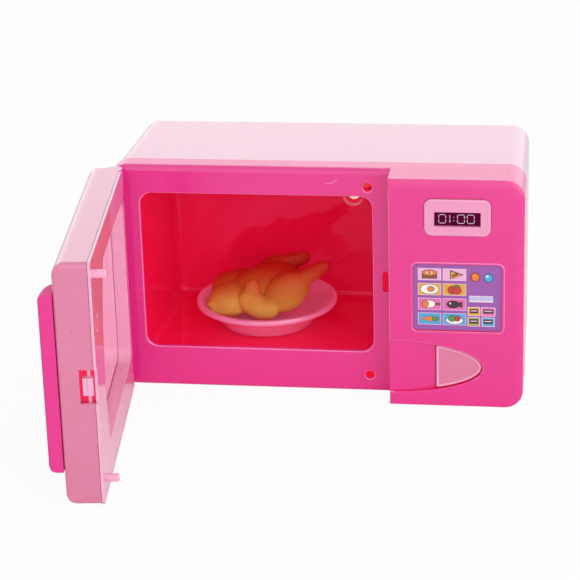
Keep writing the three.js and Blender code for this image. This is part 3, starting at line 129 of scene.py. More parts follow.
def newMaterial(name, values):
    material = bpy.data.materials.new(name)
    material.use_nodes = True
    tree = material.node_tree
    shader = next(node for node in tree.nodes if node.type == "BSDF_PRINCIPLED")
    setSockets(shader, values)
    return material, tree, shader


# Moulded plastic: one even colour with faint flow clouds some 20 mm wide, and a 1.5 mm ripple in its gloss
def mouldedPlastic(name, colour, cloud, roughness, coat=0.0, soft=0.0, cloudMm=20, rippleMm=1.5,
                   bumpMm=0.006, clear=0.0, glow=0.0, sheen="#FFFFFF"):
    material, tree, shader = newMaterial(name, {
        "IOR": 1.53, "Specular Tint": linear(sheen), "Coat Weight": coat, "Coat Roughness": 0.06,
        "Subsurface Weight": soft, "Subsurface Radius": (0.004, 0.0015, 0.002), "Subsurface Scale": 1.0,
        "Transmission Weight": clear, "Emission Strength": glow})
    place = addNode(tree, "ShaderNodeTexCoord").outputs["Object"]
    clouds = addNode(tree, "ShaderNodeTexNoise", {"Scale": 1000 / cloudMm, "Detail": 3.0}, {"Vector": place})
    tint = addNode(tree, "ShaderNodeMix", {"A": linear(colour), "B": linear(cloud)},
                   {"Factor": clouds.outputs["Fac"]}, data_type="RGBA").outputs["Result"]
    ripple = addNode(tree, "ShaderNodeTexNoise", {"Scale": 1000 / rippleMm, "Detail": 4.0},
                     {"Vector": place}).outputs["Fac"]
    gloss = addNode(tree, "ShaderNodeMapRange", {"To Min": roughness * 0.8, "To Max": roughness * 1.25},
                    {"Value": ripple})
    bump = addNode(tree, "ShaderNodeBump", {"Strength": 0.5, "Distance": bumpMm * mm}, {"Height": ripple})
    linkSockets(tree, shader, {"Base Color": tint, "Roughness": gloss.outputs["Result"],
                               "Normal": bump.outputs["Normal"]})
    # A glow is painted light: the finish gives off its own colour
    if glow:
        linkSockets(tree, shader, {"Emission Color": tint})
    return material


# Plated and drawn metal: bright and slightly mottled, with a fine spangle some 0.4 mm wide
def platedMetal(name, colour, roughness, spangleMm=0.4):
    material, tree, shader = newMaterial(name, {"Metallic": 1.0})
    place = addNode(tree, "ShaderNodeTexCoord").outputs["Object"]
    spangle = addNode(tree, "ShaderNodeTexNoise", {"Scale": 1000 / spangleMm, "Detail": 2.0},
                      {"Vector": place}).outputs["Fac"]
    gloss = addNode(tree, "ShaderNodeMapRange", {"To Min": roughness * 0.7, "To Max": roughness * 1.4},
                    {"Value": spangle})
    tint = addNode(tree, "ShaderNodeMix", {"A": linear(colour), "B": linear("#F2F2F0")}, {"Factor": spangle},
                   data_type="RGBA")
    linkSockets(tree, shader, {"Base Color": tint.outputs["Result"], "Roughness": gloss.outputs["Result"]})
    return material


# Sprayed toy food: golden in front, redder towards its top, back and underside, in soft patches 12 mm wide,
# with a matt skin that has a 1.2 mm grain; the redder top, back and underside are partly its sprayed colour
# and partly painted light, the red bounce from the cavity and the dish
def paintedRoast(name):
    material, tree, shader = newMaterial(name, {
        "Roughness": 0.45, "Specular IOR Level": 0.15, "Subsurface Weight": 0.3,
        "Subsurface Radius": (0.004, 0.0015, 0.0006), "Subsurface Scale": 1.0})
    place = addNode(tree, "ShaderNodeTexCoord").outputs["Object"]
    apart = addNode(tree, "ShaderNodeSeparateXYZ", None, {"Vector": place}).outputs
    patches = addNode(tree, "ShaderNodeTexNoise", {"Scale": 1000 / 12, "Detail": 3.0}, {"Vector": place})
    total = None
    # The shares, in order: the top, the back and the underside, each partly painted light; then the random
    # patches
    for values, socket in (({"From Min": 0.025, "From Max": 0.047}, apart["Z"]),
                           ({"From Min": -0.016, "From Max": 0.014, "To Max": 0.55}, apart["Y"]),
                           ({"From Min": 0.0255, "From Max": 0.021, "To Max": 0.5}, apart["Z"]),
                           ({"To Min": -0.2, "To Max": 0.2}, patches.outputs["Fac"])):
        share = addNode(tree, "ShaderNodeMapRange", values, {"Value": socket}).outputs[0]
        total = share if total is None else addNode(tree, "ShaderNodeMath", None, {0: total, 1: share},
                                                    operation="ADD").outputs[0]
    ramp = addNode(tree, "ShaderNodeValToRGB", None, {"Fac": total})
    stops = ramp.color_ramp.elements
    stops.new(0.5)
    for stop, (position, colour) in zip(stops, ((0.1, "#E0B858"), (0.5, "#CC7634"), (1.0, "#C02C1C"))):
        stop.position = position
        stop.color = linear(colour)
    skin = addNode(tree, "ShaderNodeTexNoise", {"Scale": 1000 / 1.2, "Detail": 3.0}, {"Vector": place})
    bump = addNode(tree, "ShaderNodeBump", {"Strength": 0.4, "Distance": 0.04 * mm},
                   {"Height": skin.outputs["Fac"]})
    linkSockets(tree, shader, {"Base Color": ramp.outputs["Color"], "Normal": bump.outputs["Normal"]})
    return material


# The glow of a pink finish is painted light, standing for daylight in its thin wall and light bounced between
# pieces; polished faces mirror what stands near them
finish = {
    "hotPink": mouldedPlastic("moulded hot pink ABS", "#D41A7C", "#D82084", 0.34, coat=0.75, glow=0.2),
    # A lighter copy of the hot pink: a painted highlight on lit edges, and the scratch's own lighter mark
    "hotEdge": mouldedPlastic("moulded hot pink ABS, painted edge highlight and scratch", "#F684BE", "#F88DC4", 0.3, coat=1.0),
    "gripPink": mouldedPlastic("satin hot pink ABS", "#E02A86", "#E4308E", 0.55, glow=0.08),
    # A darker copy of the hot pink: painted shade deep in gaps
    "deepPink": mouldedPlastic("moulded hot pink ABS, painted shade deep in a gap", "#CC0F48", "#D41850", 0.35, glow=0.3),
    "palePink": mouldedPlastic("moulded pale pink ABS", "#EBB2CD", "#EEB9D2", 0.36, coat=0.7, soft=0.1),
    "doorPink": mouldedPlastic("moulded rose pink ABS", "#DE789F", "#E280A7", 0.32, coat=1.0, soft=0.2),
    # Pale rose: the catch's own colour, and a painted highlight on the bezel's rim and the button's edges
    "doorEdge": mouldedPlastic("moulded rose pink ABS, thin lit edge", "#F2AACD", "#F4B2D2", 0.3, coat=0.8),
    "innerPink": mouldedPlastic("polished rose pink ABS", "#F6AECE", "#F9B6D4", 0.08, coat=0.6, soft=0.1,
                                rippleMm=8, bumpMm=0.002),
    "window": mouldedPlastic("tinted pink acrylic", "#F6B4D0", "#F8BDD6", 0.08, coat=0.6, clear=0.3,
                             glow=0.12),
    "cavity": mouldedPlastic("polished red pink ABS", "#F0104A", "#F41A52", 0.06, rippleMm=9, bumpMm=0.1,
                             glow=0.08, sheen="#F58CC8"),
    # A painted glow on inside faces, seen through gaps and holes
    "innerGlow": mouldedPlastic("red pink ABS, painted glow inside", "#E01840", "#E62248", 0.4, glow=0.42),
    # A painted glow on the inside of the door's free end
    "catchGlow": mouldedPlastic("rose ABS, painted glow behind the catch window", "#E83462", "#EC3C6A", 0.4, glow=0.6),
    "bezelPink": mouldedPlastic("moulded light rose ABS", "#EA94BC", "#ED9CC2", 0.34, coat=0.3, glow=0.04),
    # A lighter red pink: a painted highlight on the lamp ring's rims
    "lampPink": mouldedPlastic("polished red pink ABS, painted highlight on the lamp rims", "#F04878", "#F45082", 0.15, coat=0.4,
                               glow=0.05),
    "dish": mouldedPlastic("polished light pink ABS", "#FF8EBE", "#FF96C6", 0.22, coat=0.8, clear=0.35,
                           glow=0.065),
    "label": mouldedPlastic("printed dark label film", "#1C1A16", "#24211C", 0.4),
    "digit": mouldedPlastic("printed pale grey ink", "#C9C4C8", "#D4CFD3", 0.5),
    "sticker": mouldedPlastic("printed purple label film", "#9A55A8", "#A05BAE", 0.32),
    "ivory": mouldedPlastic("moulded ivory acetal", "#E9E4DA", "#EFEBE2", 0.45),
    "black": mouldedPlastic("moulded black ABS", "#232325", "#2B2B2E", 0.45),
    "board": mouldedPlastic("green circuit board laminate", "#245C3B", "#2E6B46", 0.4, cloudMm=6),
    "jacket": mouldedPlastic("printed blue cell jacket", "#31437A", "#3A4E8A", 0.3),
    "bulb": mouldedPlastic("clear lamp lens", "#FFF3EC", "#FFF7F2", 0.05, clear=0.5, glow=0.25),
    "steel": platedMetal("zinc-plated steel", "#B9BCC0", 0.28),
    "brass": platedMetal("drawn brass", "#C9A45C", 0.3),
    "roast": paintedRoast("sprayed golden brown vinyl, partly painted red bounce light"),
}
print("materials:", len(finish))


# Selecting and shaping


def activate(obj):
    deselect()
    obj.select_set(True)
    bpy.context.view_layer.objects.active = obj


def settle(obj):
    activate(obj)
    bpy.ops.object.transform_apply(location=True, rotation=True, scale=True)
    return obj


def addBox(name, x, y, z):
    deselect()
    low, high = at(x[0], y[0], z[0]), at(x[1], y[1], z[1])
    bpy.ops.mesh.primitive_cube_add(size=1, location=(low + high) / 2)
    obj = bpy.context.object
    obj.name = name
    obj.scale = high - low
    return settle(obj)


turnTo = {"x": (0, math.pi / 2, 0), "y": (-math.pi / 2, 0, 0), "z": (0, 0, 0)}


# A round or oval rod along an axis; centre holds the two other coordinates in x, y, z order
def addRod(name, axis, centre, radii, span, sides=48):
    deselect()
    middle = list(centre)
    middle.insert("xyz".index(axis), sum(span) / 2)
    bpy.ops.mesh.primitive_cylinder_add(vertices=sides, radius=1, depth=1, location=at(*middle),
                                        rotation=turnTo[axis])
    obj = bpy.context.object
    obj.name = name
    wide, tall = radii if isinstance(radii, tuple) else (radii, radii)
    obj.scale = (wide * mm, tall * mm, abs(span[1] - span[0]) * mm)
    return settle(obj)


def setMode(mode):
    bpy.ops.object.mode_set(mode=mode)


# Selects only what passes a test, and opens edit mode
def editParts(obj, kind, parts, test):
    activate(obj)
    setMode("EDIT")
    bpy.ops.mesh.select_mode(type=kind)
    bpy.ops.mesh.select_all(action="DESELECT")
    setMode("OBJECT")
    for part in parts:
        part.select = bool(test(part))
    setMode("EDIT")


# Gives an edge test the edge's middle and direction
def testEdge(obj, test, edge):
    a, b = (obj.data.vertices[i].co for i in edge.vertices)
    return test(inMm((a + b) / 2), (b - a).normalized())


def editEdges(obj, test):
    editParts(obj, "EDGE", obj.data.edges, lambda edge: testEdge(obj, test, edge))


def editFaces(obj, test):
    editParts(obj, "FACE", obj.data.polygons, lambda face: test(inMm(face.center), face.normal))


def facesFront(middle, normal):
    return normal.y < -0.99


# Tests for edges: those that run along an axis, and those that lie in a plane across it
def along(axis, where=lambda x, y, z: True):
    i = "xyz".index(axis)
    return lambda middle, direction: abs(direction[i]) > 0.9 and where(*middle)


def inPlane(axis, level, where=lambda x, y, z: True):
    i = "xyz".index(axis)
    return lambda middle, direction: (abs(middle[i] - level) < touch and abs(direction[i]) < 0.1
                                      and where(*middle))


def roundEdges(obj, test, radius, segments=8):
    editEdges(obj, test)
    bpy.ops.mesh.bevel(offset=radius * mm, segments=segments, profile=0.5, affect="EDGES",
                       clamp_overlap=True)
    setMode("OBJECT")
    return obj


def shiftEdges(obj, test, move):
    editEdges(obj, test)
    bpy.ops.transform.translate(value=[part * mm for part in move])
    setMode("OBJECT")


# Extrudes the selected face and sizes the new outline about a point
def extrudeTo(move, factor, pivot):
    bpy.ops.mesh.extrude_region_move(TRANSFORM_OT_translate={"value": [part * mm for part in move]})
    bpy.ops.transform.resize(value=factor, center_override=pivot)


def insetFace(obj, level, steps):
    editFaces(obj, lambda middle, normal: facesFront(middle, normal) and middle[1] < level + touch)
    for width, depth in steps:
        bpy.ops.mesh.inset(thickness=width * mm, depth=-depth * mm)
    setMode("OBJECT")


# Gives the faces that pass a test another of the piece's finishes
def markFaces(obj, finishIndex, test):
    for face in obj.data.polygons:
        if test(face.normal, *inMm(face.center)):
            face.material_index = finishIndex
    return obj


def applyModifier(obj, kind, **settings):
    activate(obj)
    change = obj.modifiers.new(kind.lower(), kind)
    for name, value in settings.items():
        setattr(change, name, value)
    bpy.ops.object.modifier_apply(modifier=change.name)
    return obj


def combine(obj, tool, operation):
    applyModifier(obj, "BOOLEAN", operation=operation, solver="EXACT", object=tool)
    bpy.data.objects.remove(tool)
    return obj


def cut(obj, tool):
    return combine(obj, tool, "DIFFERENCE")


def weld(obj, tool):
    return combine(obj, tool, "UNION")


def trim(obj, tool):
    return combine(obj, tool, "INTERSECT")


def drill(obj, axis, centre, radius, span, sides=48):
    return cut(obj, addRod("drill", axis, centre, radius, span, sides))


def mergeDoubles():
    bpy.ops.mesh.select_all(action="SELECT")
    bpy.ops.mesh.remove_doubles(threshold=0.002 * mm)


def softenEdges(obj, width, segments=2, angle=38):
    activate(obj)
    setMode("EDIT")
    mergeDoubles()
    setMode("OBJECT")
    return applyModifier(obj, "BEVEL", width=width * mm, segments=segments, limit_method="ANGLE",
                         angle_limit=math.radians(angle))


# Rounds several groups of edges at once, each to its own radius up to the widest
def roundByWeight(obj, widest, groups, segments=6):
    weights = obj.data.attributes.new("bevel_weight_edge", "FLOAT", "EDGE")
    for edge in obj.data.edges:
        for test, radius in groups:
            if testEdge(obj, test, edge):
                weights.data[edge.index].value = radius / widest
    return applyModifier(obj, "BEVEL", width=widest * mm, segments=segments, limit_method="WEIGHT")


# A turned shape: a disc whose top is drawn on from ring to ring, each a radius and a height
def turnShape(name, centre, profile, sides=96, towardsBack=False):
    deselect()
    bpy.ops.mesh.primitive_circle_add(vertices=sides, radius=profile[0][0] * mm, fill_type="NGON",
                                      location=(0, 0, profile[0][1] * mm))
    obj = settle(bpy.context.object)
    obj.name = name
    setMode("EDIT")
    bpy.ops.mesh.select_mode(type="FACE")
    bpy.ops.mesh.select_all(action="SELECT")
    for (lastRadius, lastHeight), (radius, height) in zip(profile, profile[1:]):
        share = radius / lastRadius
        extrudeTo((0, 0, height - lastHeight), (share, share, 1), (0, 0, height * mm))
    mergeDoubles()
    bpy.ops.mesh.normals_make_consistent(inside=False)
    setMode("OBJECT")
    if towardsBack:
        obj.rotation_euler = turnTo["y"]
    obj.location = at(*centre)
    return settle(obj)


def openDoor(obj):
    pivot = Matrix.Translation(at(hingeX, hingeY, 0))
    obj.matrix_world = pivot @ Matrix.Rotation(-openAngle, 4, "Z") @ pivot.inverted() @ obj.matrix_world
    return settle(obj)


def joinAll(pieces, name):
    activate(pieces[0])
    for piece in pieces:
        piece.select_set(True)
    if len(pieces) > 1:
        bpy.ops.object.join()
    pieces[0].name = name
    return pieces[0]


def finishPiece(obj, materials, body, replaced=(), smooth=38):
    activate(obj)
    bpy.ops.object.shade_smooth_by_angle(angle=math.radians(smooth))
    applyModifier(obj, "WEIGHTED_NORMAL", keep_sharp=True)
    chosen = [face.material_index for face in obj.data.polygons]
    obj.data.materials.clear()
    for material in materials.split():
        obj.data.materials.append(finish[material])
    for face, index in zip(obj.data.polygons, chosen):
        face.material_index = index
    if replaced:
        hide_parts(*replaced)
    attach(obj, body)


# Front housing: frame, rim and control panel in one moulding
housing = {
    "halfWidth": 80, "height": 91.5, "corner": 7, "wall": 1.8, "rimDepth": 9.4, "rimRound": 2.5,
    "panelLeft": 28.9, "panelFront": -12, "panelWall": 2, "panelRound": 6.5, "panelSide": 4,
    "panelDepth": 1.1, "edge": 0.5, "hair": 0.01,
}
cavity = {"x": (-68.25, 21.75), "z": (17, 80.5), "corner": 4.8, "depth": 58.3, "draft": 1.2, "wall": 1.5,
          "fillet": 3}
pegHole = {"x": 20.1, "heights": (7.15, 84.2), "radius": 1.75}
catchSlot = {"x": (25.5, 27.9), "z": (41.9, 50.4), "corner": 1.1, "lip": 0.15}
lug = {"radius": 2.3, "bottoms": (7, 78.5), "height": 6, "bore": 1.25}
well = {"x": 72, "heights": (8, 83.5), "post": 3, "postEnd": 15.3, "bore": 1.7, "boreStart": 4.7}
wellPlaces = [(x, z) for x in (-well["x"], well["x"]) for z in well["heights"]]
scratch = {"x": 5.3, "z": 89, "radius": 3.6, "depth": 0.15, "core": (5.15, 89.25), "thin": 0.05,
           "span": (3.3, 8.5)}
scoop = {"length": 35.7, "half": 10.6, "height": 16.3, "buttonLeft": 46.4, "shallow": -11, "deep": -9.8,
         "wall": 1.8, "holeEnd": -6, "room": ((-14, 0), (0, 40))}
keypad = {"x": (38.3, 71.7), "z": (31.7, 58.1), "corner": 1.6, "rim": 1.1, "proud": 0.45, "root": -11,
          "floor": -11.4, "film": 0.25, "lip": 0.25}
display = {"x": (42.6, 67.4), "z": (70, 84.2), "corner": 2.7, "front": -12.9, "pocket": -11, "lip": 0.2}
seatGap = 0.3


def scoopTool(name, grow, y0, y1):
    return addRod(name, "y", (housing["panelLeft"], scoop["height"]),
                  (scoop["length"] + grow, scoop["half"] + grow), (y0, y1), sides=144)


# The panel's lower corner, right of a level
def cornerRoom(left):
    return addBox("corner", (left, housing["halfWidth"]), *scoop["room"])


# Draws the selected front face on in a quarter round: out by a depth, while its sizes change by a growth
def drawRound(sizes, growth, depth, pivot, steps):
    lastOut, lastDrawn = 0, 0
    for step in range(1, steps + 1):
        angle = step / steps * math.pi / 2
        out, drawn = math.sin(angle), 1 - math.cos(angle)
        wide, tall = ((size + drawn * by) / (size + lastDrawn * by) for size, by in zip(sizes, growth))
        extrudeTo((0, (lastOut - out) * depth, 0), (wide, 1, tall), pivot)
        lastOut, lastDrawn = out, drawn


# A box with rounded right corners and a rounded front, whose edges are drawn in most at top and bottom
def pillowBox(name, x, z, front, back, corner, steps):
    h = housing
    box = addBox(name, x, (front + h["panelDepth"], back), z)
    roundEdges(box, along("y", lambda px, y, pz: px > x[1] - 0.1), corner, 10)
    editFaces(box, facesFront)
    wide, tall = x[1] - x[0], (z[1] - z[0]) / 2
    sideways = h["edge"] + h["panelSide"]
    pivot = at(x[0] + wide * h["edge"] / sideways, 0, sum(z) / 2)
    drawRound((wide, tall), (-sideways, -h["panelRound"]), h["panelDepth"], pivot, steps)
    setMode("OBJECT")
    return box


# Widens a cutting tool in a quarter round where it enters the surface, so that the cut's edge is rounded
def flareFront(tool, centre, half, radius, steps=4):
    editFaces(tool, facesFront)
    pivot = at(centre[0], 0, centre[1])
    drawRound(half, (radius, radius), radius, pivot, steps)
    extrudeTo((0, -over, 0), (1, 1, 1), pivot)
    setMode("OBJECT")
    return tool


# A tool for a rounded opening that starts at a front face and has a rounded lip there
def slotTool(name, x, z, corner, lip, front, back):
    tool = addBox(name, x, (front + lip, back), z)
    roundEdges(tool, along("y"), corner, 10)
    return flareFront(tool, (sum(x) / 2, sum(z) / 2), ((x[1] - x[0]) / 2, (z[1] - z[0]) / 2), lip)


def makeHousing():
    h = housing
    half, wall, hair = h["halfWidth"], h["wall"], h["hair"]
    across, upright, end = (-half, half), (0, h["height"]), h["rimDepth"]
    shell = addBox("front_housing_skin", across, (0, end), upright)
    roundEdges(shell, along("y"), h["corner"], 10)
    roundEdges(shell, inPlane("y", 0), h["rimRound"], 6)
    weld(shell, pillowBox("panel", (h["panelLeft"], half - hair), widen(upright, -hair), h["panelFront"],
                          end - hair, h["corner"], 10))
    hollow = addBox("hollow", widen(across, -wall), (faceWall, end + over), widen(upright, -wall))
    roundEdges(hollow, along("y"), h["corner"] - wall, 8)
    cut(shell, hollow)
    cut(shell, pillowBox("bay", (h["panelLeft"] + wall, half - wall - hair), widen(upright, -wall - hair),
                         h["panelFront"] + h["panelWall"], end + over + hair, h["corner"] - wall, 4))
    for x, z in wellPlaces:
        start = faceWall / 2 if x < 0 else h["panelFront"] + h["panelWall"] / 2
        weld(shell, addRod("post", "y", (x, z), well["post"], (start, well["postEnd"])))
        drill(shell, "y", (x, z), well["bore"], (well["boreStart"], well["postEnd"] + over))
    for bottom in lug["bottoms"]:
        span = (bottom, bottom + lug["height"])
        ear = addRod("ear", "z", (hingeX, hingeY), lug["radius"], span)
        weld(ear, addBox("web", widen((hingeX, hingeX), lug["radius"]), (hingeY, faceWall / 2), span))
        weld(shell, ear)
        drill(shell, "z", (hingeX, hingeY), lug["bore"], widen(span, over))
    return shell


# The keypad's raised band and the seats of keypad and display
def seatPrints(shell):
    k, d, front = keypad, display, housing["panelFront"]
    top = front - k["proud"]
    band = addBox("band", widen(k["x"], k["rim"]), (top, k["root"]), widen(k["z"], k["rim"]))
    roundEdges(band, along("y"), k["corner"] + k["rim"], 8)
    roundEdges(band, inPlane("y", top), k["proud"] - 0.03, 4)
    weld(shell, band)
    cut(shell, slotTool("pocket", widen(k["x"], seatGap), widen(k["z"], seatGap), k["corner"], k["lip"], top,
                        k["floor"]))
    cut(shell, slotTool("seat", widen(d["x"], seatGap), widen(d["z"], seatGap), d["corner"] + seatGap,
                        d["lip"], front, d["pocket"]))


# The thumb scoop, which gets deeper towards the button, and the button's hole
def cutScoop(shell):
    h, s = housing, scoop
    lip, left = h["edge"], h["panelLeft"]
    pad = scoopTool("pad", s["wall"] / 2, h["panelFront"] + h["panelWall"] / 2, s["deep"] + s["wall"])
    weld(shell, trim(pad, cornerRoom(left + h["wall"] / 2)))
    wedge = addBox("wedge", (left - over, s["buttonLeft"]), (s["room"][0][0], s["deep"]), s["room"][1])
    shiftEdges(wedge, along("z", lambda x, y, z: y > -10 and x < left), (0, s["shallow"] - s["deep"], 0))
    for tool in (wedge, cornerRoom(s["buttonLeft"])):
        opening = scoopTool("opening", 0, h["panelFront"] + lip, s["holeEnd"])
        flareFront(opening, (left, s["height"]), (s["length"], s["half"]), lip)
        cut(shell, trim(opening, tool))


def cutHousing(shell):
    lip = housing["edge"]
    seatPrints(shell)
    cutScoop(shell)
    cut(shell, slotTool("opening", cavity["x"], cavity["z"], cavity["corner"], lip, 0, faceWall + over))
    for z in pegHole["heights"]:
        hole = addRod("hole", "y", (pegHole["x"], z), pegHole["radius"], (lip, faceWall + over))
        cut(shell, flareFront(hole, (pegHole["x"], z), (pegHole["radius"],) * 2, lip))
    c, s = catchSlot, scratch
    cut(shell, slotTool("slot", c["x"], c["z"], c["corner"], c["lip"], 0, faceWall + over))
    nick = addRod("nick", "y", (s["x"], s["z"]), s["radius"], (-over, s["depth"]))
    drill(nick, "y", s["core"], s["radius"] - s["thin"], (-2, over))
    trim(nick, addBox("part", s["span"], (-2, over), (80, s["z"])))
    return cut(shell, nick)


# Rooms, each the ranges of x, y and z that it spans, for the finishes of the housing's faces: painted
# highlights on the edges of the frame's openings, of the panel's front, and of its left side and the lugs;
# the scratch; a painted glow on the inside behind the frame and behind the panel; painted shade in deep gaps
# round keypad and display, and round the button
highlightRooms = (((-77, 77), (0, 0.5), (3, 88.5)), ((28, 75), (-12.46, -11.4), (5, 85.5)),
             ((-82, 29.5), (-13, -1), (-1, 92)))
scratchRooms = (((1.3, 9.3), (0, 0.2), (84.5, 89)),)
insideRooms = (((-78.3, 30.8), (1.9, 9.3), (1.7, 89.8)), ((30.8, 78.3), (-9.5, 9.3), (1.7, 89.8)))
gapRooms = (((31, 78), (-11.9, -9.5), (2, 90)), ((46, 68), (-11.9, -6), (5, 28)))


def isInRoom(rooms, *point):
    return any(all(low < part < high for (low, high), part in zip(room, point)) for room in rooms)


# The slanted rounds of the front's edges get a painted highlight, but not those that look up in the thumb
# scoop; the scratch is lighter as its own mark
def isHighlightOrScratch(normal, x, y, z):
    slanted = -0.975 < normal.y < -0.1 and not (normal.z > 0.2 and z < 14 and x > 30)
    return isInRoom(scratchRooms, x, y, z) or slanted and isInRoom(highlightRooms, x, y, z)


# Faces of a shell's inside don't look away from its middle
def looksIn(normal, x, z):
    return normal.x * x + normal.z * (z - housing["height"] / 2) < 5


# Walls of the deep gaps round keypad, display and button get a painted shade
def isHousingGap(normal, x, y, z):
    return abs(normal.y) < 0.2 and isInRoom(gapRooms, x, y, z)


def nearWell(x, z, reach):
    return any(math.hypot(abs(x) - well["x"], z - height) < reach for height in well["heights"])


# The inside behind the frame and the panel gets a painted glow
def isHousingInside(normal, x, y, z):
    return looksIn(normal, x, z) and not nearWell(x, z, 2.5) and isInRoom(insideRooms, x, y, z)


housingSkin = cutHousing(makeHousing())
for index, test in enumerate((isHighlightOrScratch, isHousingInside, isHousingGap), 1):
    markFaces(housingSkin, index, test)
finishPiece(housingSkin, "hotPink hotEdge innerGlow deepPink", "oven_body", ["front_housing"])
print("front housing done")


# A box whose sides and top are drawn in towards its back
def taperedBox(name, x, y, z, taper):
    box = addBox(name, x, y, z)
    for axis, move, side in (("z", (taper, 0, 0), lambda px, pz: px < 0),
                             ("z", (-taper, 0, 0), lambda px, pz: px > 0),
                             ("x", (0, 0, -taper), lambda px, pz: pz > sum(z) / 2)):
        shiftEdges(box, along(axis, lambda px, py, pz: py > y[1] - touch and side(px, pz)), move)
    return box


lamp = {"x": 7.9, "z": 61.8, "bore": 5.3}
spindle = {"x": -24.4, "y": 29.3, "bore": 4.3}


# Cavity liner: an open box with rounded corners, with holes for the lamp and the turntable's spindle
def makeLiner():
    c = cavity
    wall, back = c["wall"], c["depth"]
    liner = taperedBox("cavity_liner_skin", widen(c["x"], wall), (faceWall, back + wall), widen(c["z"], wall),
                       c["draft"])
    room = taperedBox("room", c["x"], (faceWall - over, back), c["z"], c["draft"])
    roundEdges(liner, along("y"), c["corner"] + wall, 10)
    roundEdges(room, along("y"), c["corner"], 10)
    roundEdges(room, lambda middle, direction: middle[1] > back - touch, c["fillet"], 6)
    cut(liner, room)
    drill(liner, "y", (lamp["x"], lamp["z"]), lamp["bore"], widen((back, back + wall), over))
    return drill(liner, "z", (spindle["x"], spindle["y"]), spindle["bore"],
                 widen((c["z"][0] - wall, c["z"][0]), over))


# The liner's outside gets the painted glow
def isLinerOutside(normal, x, y, z):
    c = cavity
    return (x < c["x"][0] - 0.1 or x > c["x"][1] + 0.1 or z < c["z"][0] - 0.2 or z > c["z"][1] + 0.1
            or y > c["depth"] + 0.2)


finishPiece(markFaces(makeLiner(), 1, isLinerOutside), "cavity innerGlow", "oven_body",
            ["cavity_liner"])
print("cavity liner done")

# Rear cover: sides, top, underside and back, with screw wells and the battery opening
cover = {"halfWidth": 79.6, "top": 91.1, "back": 67, "taper": 0.9, "corner": 7, "backRound": 3, "wall": 1.8,
         "wellTube": 4.2, "well": 3, "wellFloor": 18, "wellStart": 15.8, "edge": 0.3}
hatch = {"x": (33.5, 66.5), "z": (18.8, 85.2), "corner": 2, "gap": 0.3, "boss": 81.7, "sink": 2.9,
         "sinkDepth": 0.7, "tab": 4, "tabReach": 2.6, "tabDepth": 1.8, "tabRise": 1.5, "grips": 7,
         "gripTop": 70, "gripPitch": 1.9, "gripWidth": 18, "gripRadius": 0.7, "edge": 0.2}


def makeCover():
    c = cover
    wall, back = c["wall"], c["back"]
    across, upright = (-c["halfWidth"], c["halfWidth"]), (0, c["top"])
    shell = taperedBox("rear_cover_skin", across, (housing["rimDepth"], back), upright, c["taper"])
    roundEdges(shell, along("y"), c["corner"], 12)
    roundEdges(shell, lambda middle, direction: middle[1] > back - touch, c["backRound"], 6)
    hollow = taperedBox("hollow", widen(across, -wall), (housing["rimDepth"] - over, back - wall),
                        widen(upright, -wall), c["taper"])
    roundEdges(hollow, along("y"), c["corner"] - wall, 8)
    cut(shell, hollow)
    for place in wellPlaces:
        weld(shell, addRod("tube", "y", place, c["wellTube"], (c["wellStart"], back - wall / 2)))
        drill(shell, "y", place, c["well"], (c["wellFloor"], back + over))
        drill(shell, "y", place, well["bore"], widen((c["wellStart"], c["wellFloor"]), over))
    gap = hatch["gap"]
    hole = addBox("hole", widen(hatch["x"], gap), widen((back - wall, back), over), widen(hatch["z"], gap))
    cut(shell, roundEdges(hole, along("y"), hatch["corner"], 6))
    return softenEdges(shell, c["edge"])


# The cover's inside gets the painted glow
def isCoverInside(normal, x, y, z):
    reach = cover["halfWidth"] - cover["wall"] + 0.1
    return (looksIn(normal, x, z) and abs(x) < reach and 1.7 < z < cover["top"] - 1.7
            and housing["rimDepth"] + 0.1 < y < cover["back"] - 1.7
            and not nearWell(x, z, cover["well"] + 0.4))


finishPiece(markFaces(makeCover(), 1, isCoverInside), "palePink innerGlow", "oven_body",
            ["rear_cover"])
print("rear cover done")


# Battery hatch: a plate with two tabs below, grip grooves and a sunk screw
def makeHatch():
    h, back = hatch, cover["back"]
    inside = back - cover["wall"]
    middle, low = sum(h["x"]) / 2, h["z"][0]
    plate = addBox("battery_hatch_skin", h["x"], (inside, back), h["z"])
    roundEdges(plate, along("y"), h["corner"], 6)
    for side in (-1, 1):
        x = middle + side * (h["x"][1] - h["x"][0]) / 4
        span, rise = widen((x, x), h["tab"] / 2), low + h["tabRise"]
        tab = addBox("tab", span, (inside - h["tabDepth"], inside + 0.5), (low, rise))
        weld(tab, addBox("tip", span, (inside - h["tabDepth"], inside - 0.3), (low - h["tabReach"], rise)))
        weld(plate, tab)
    for i in range(h["grips"]):
        drill(plate, "x", (back + h["gripRadius"] / 2, h["gripTop"] - i * h["gripPitch"]), h["gripRadius"],
              widen((middle, middle), h["gripWidth"] / 2), sides=24)
    drill(plate, "y", (middle, h["boss"]), h["sink"], (back - h["sinkDepth"], back + over))
    drill(plate, "y", (middle, h["boss"]), well["bore"], (inside - over, back + over))
    return softenEdges(plate, h["edge"])


finishPiece(makeHatch(), "palePink", "oven_body", ["battery_hatch"])
print("battery hatch done")

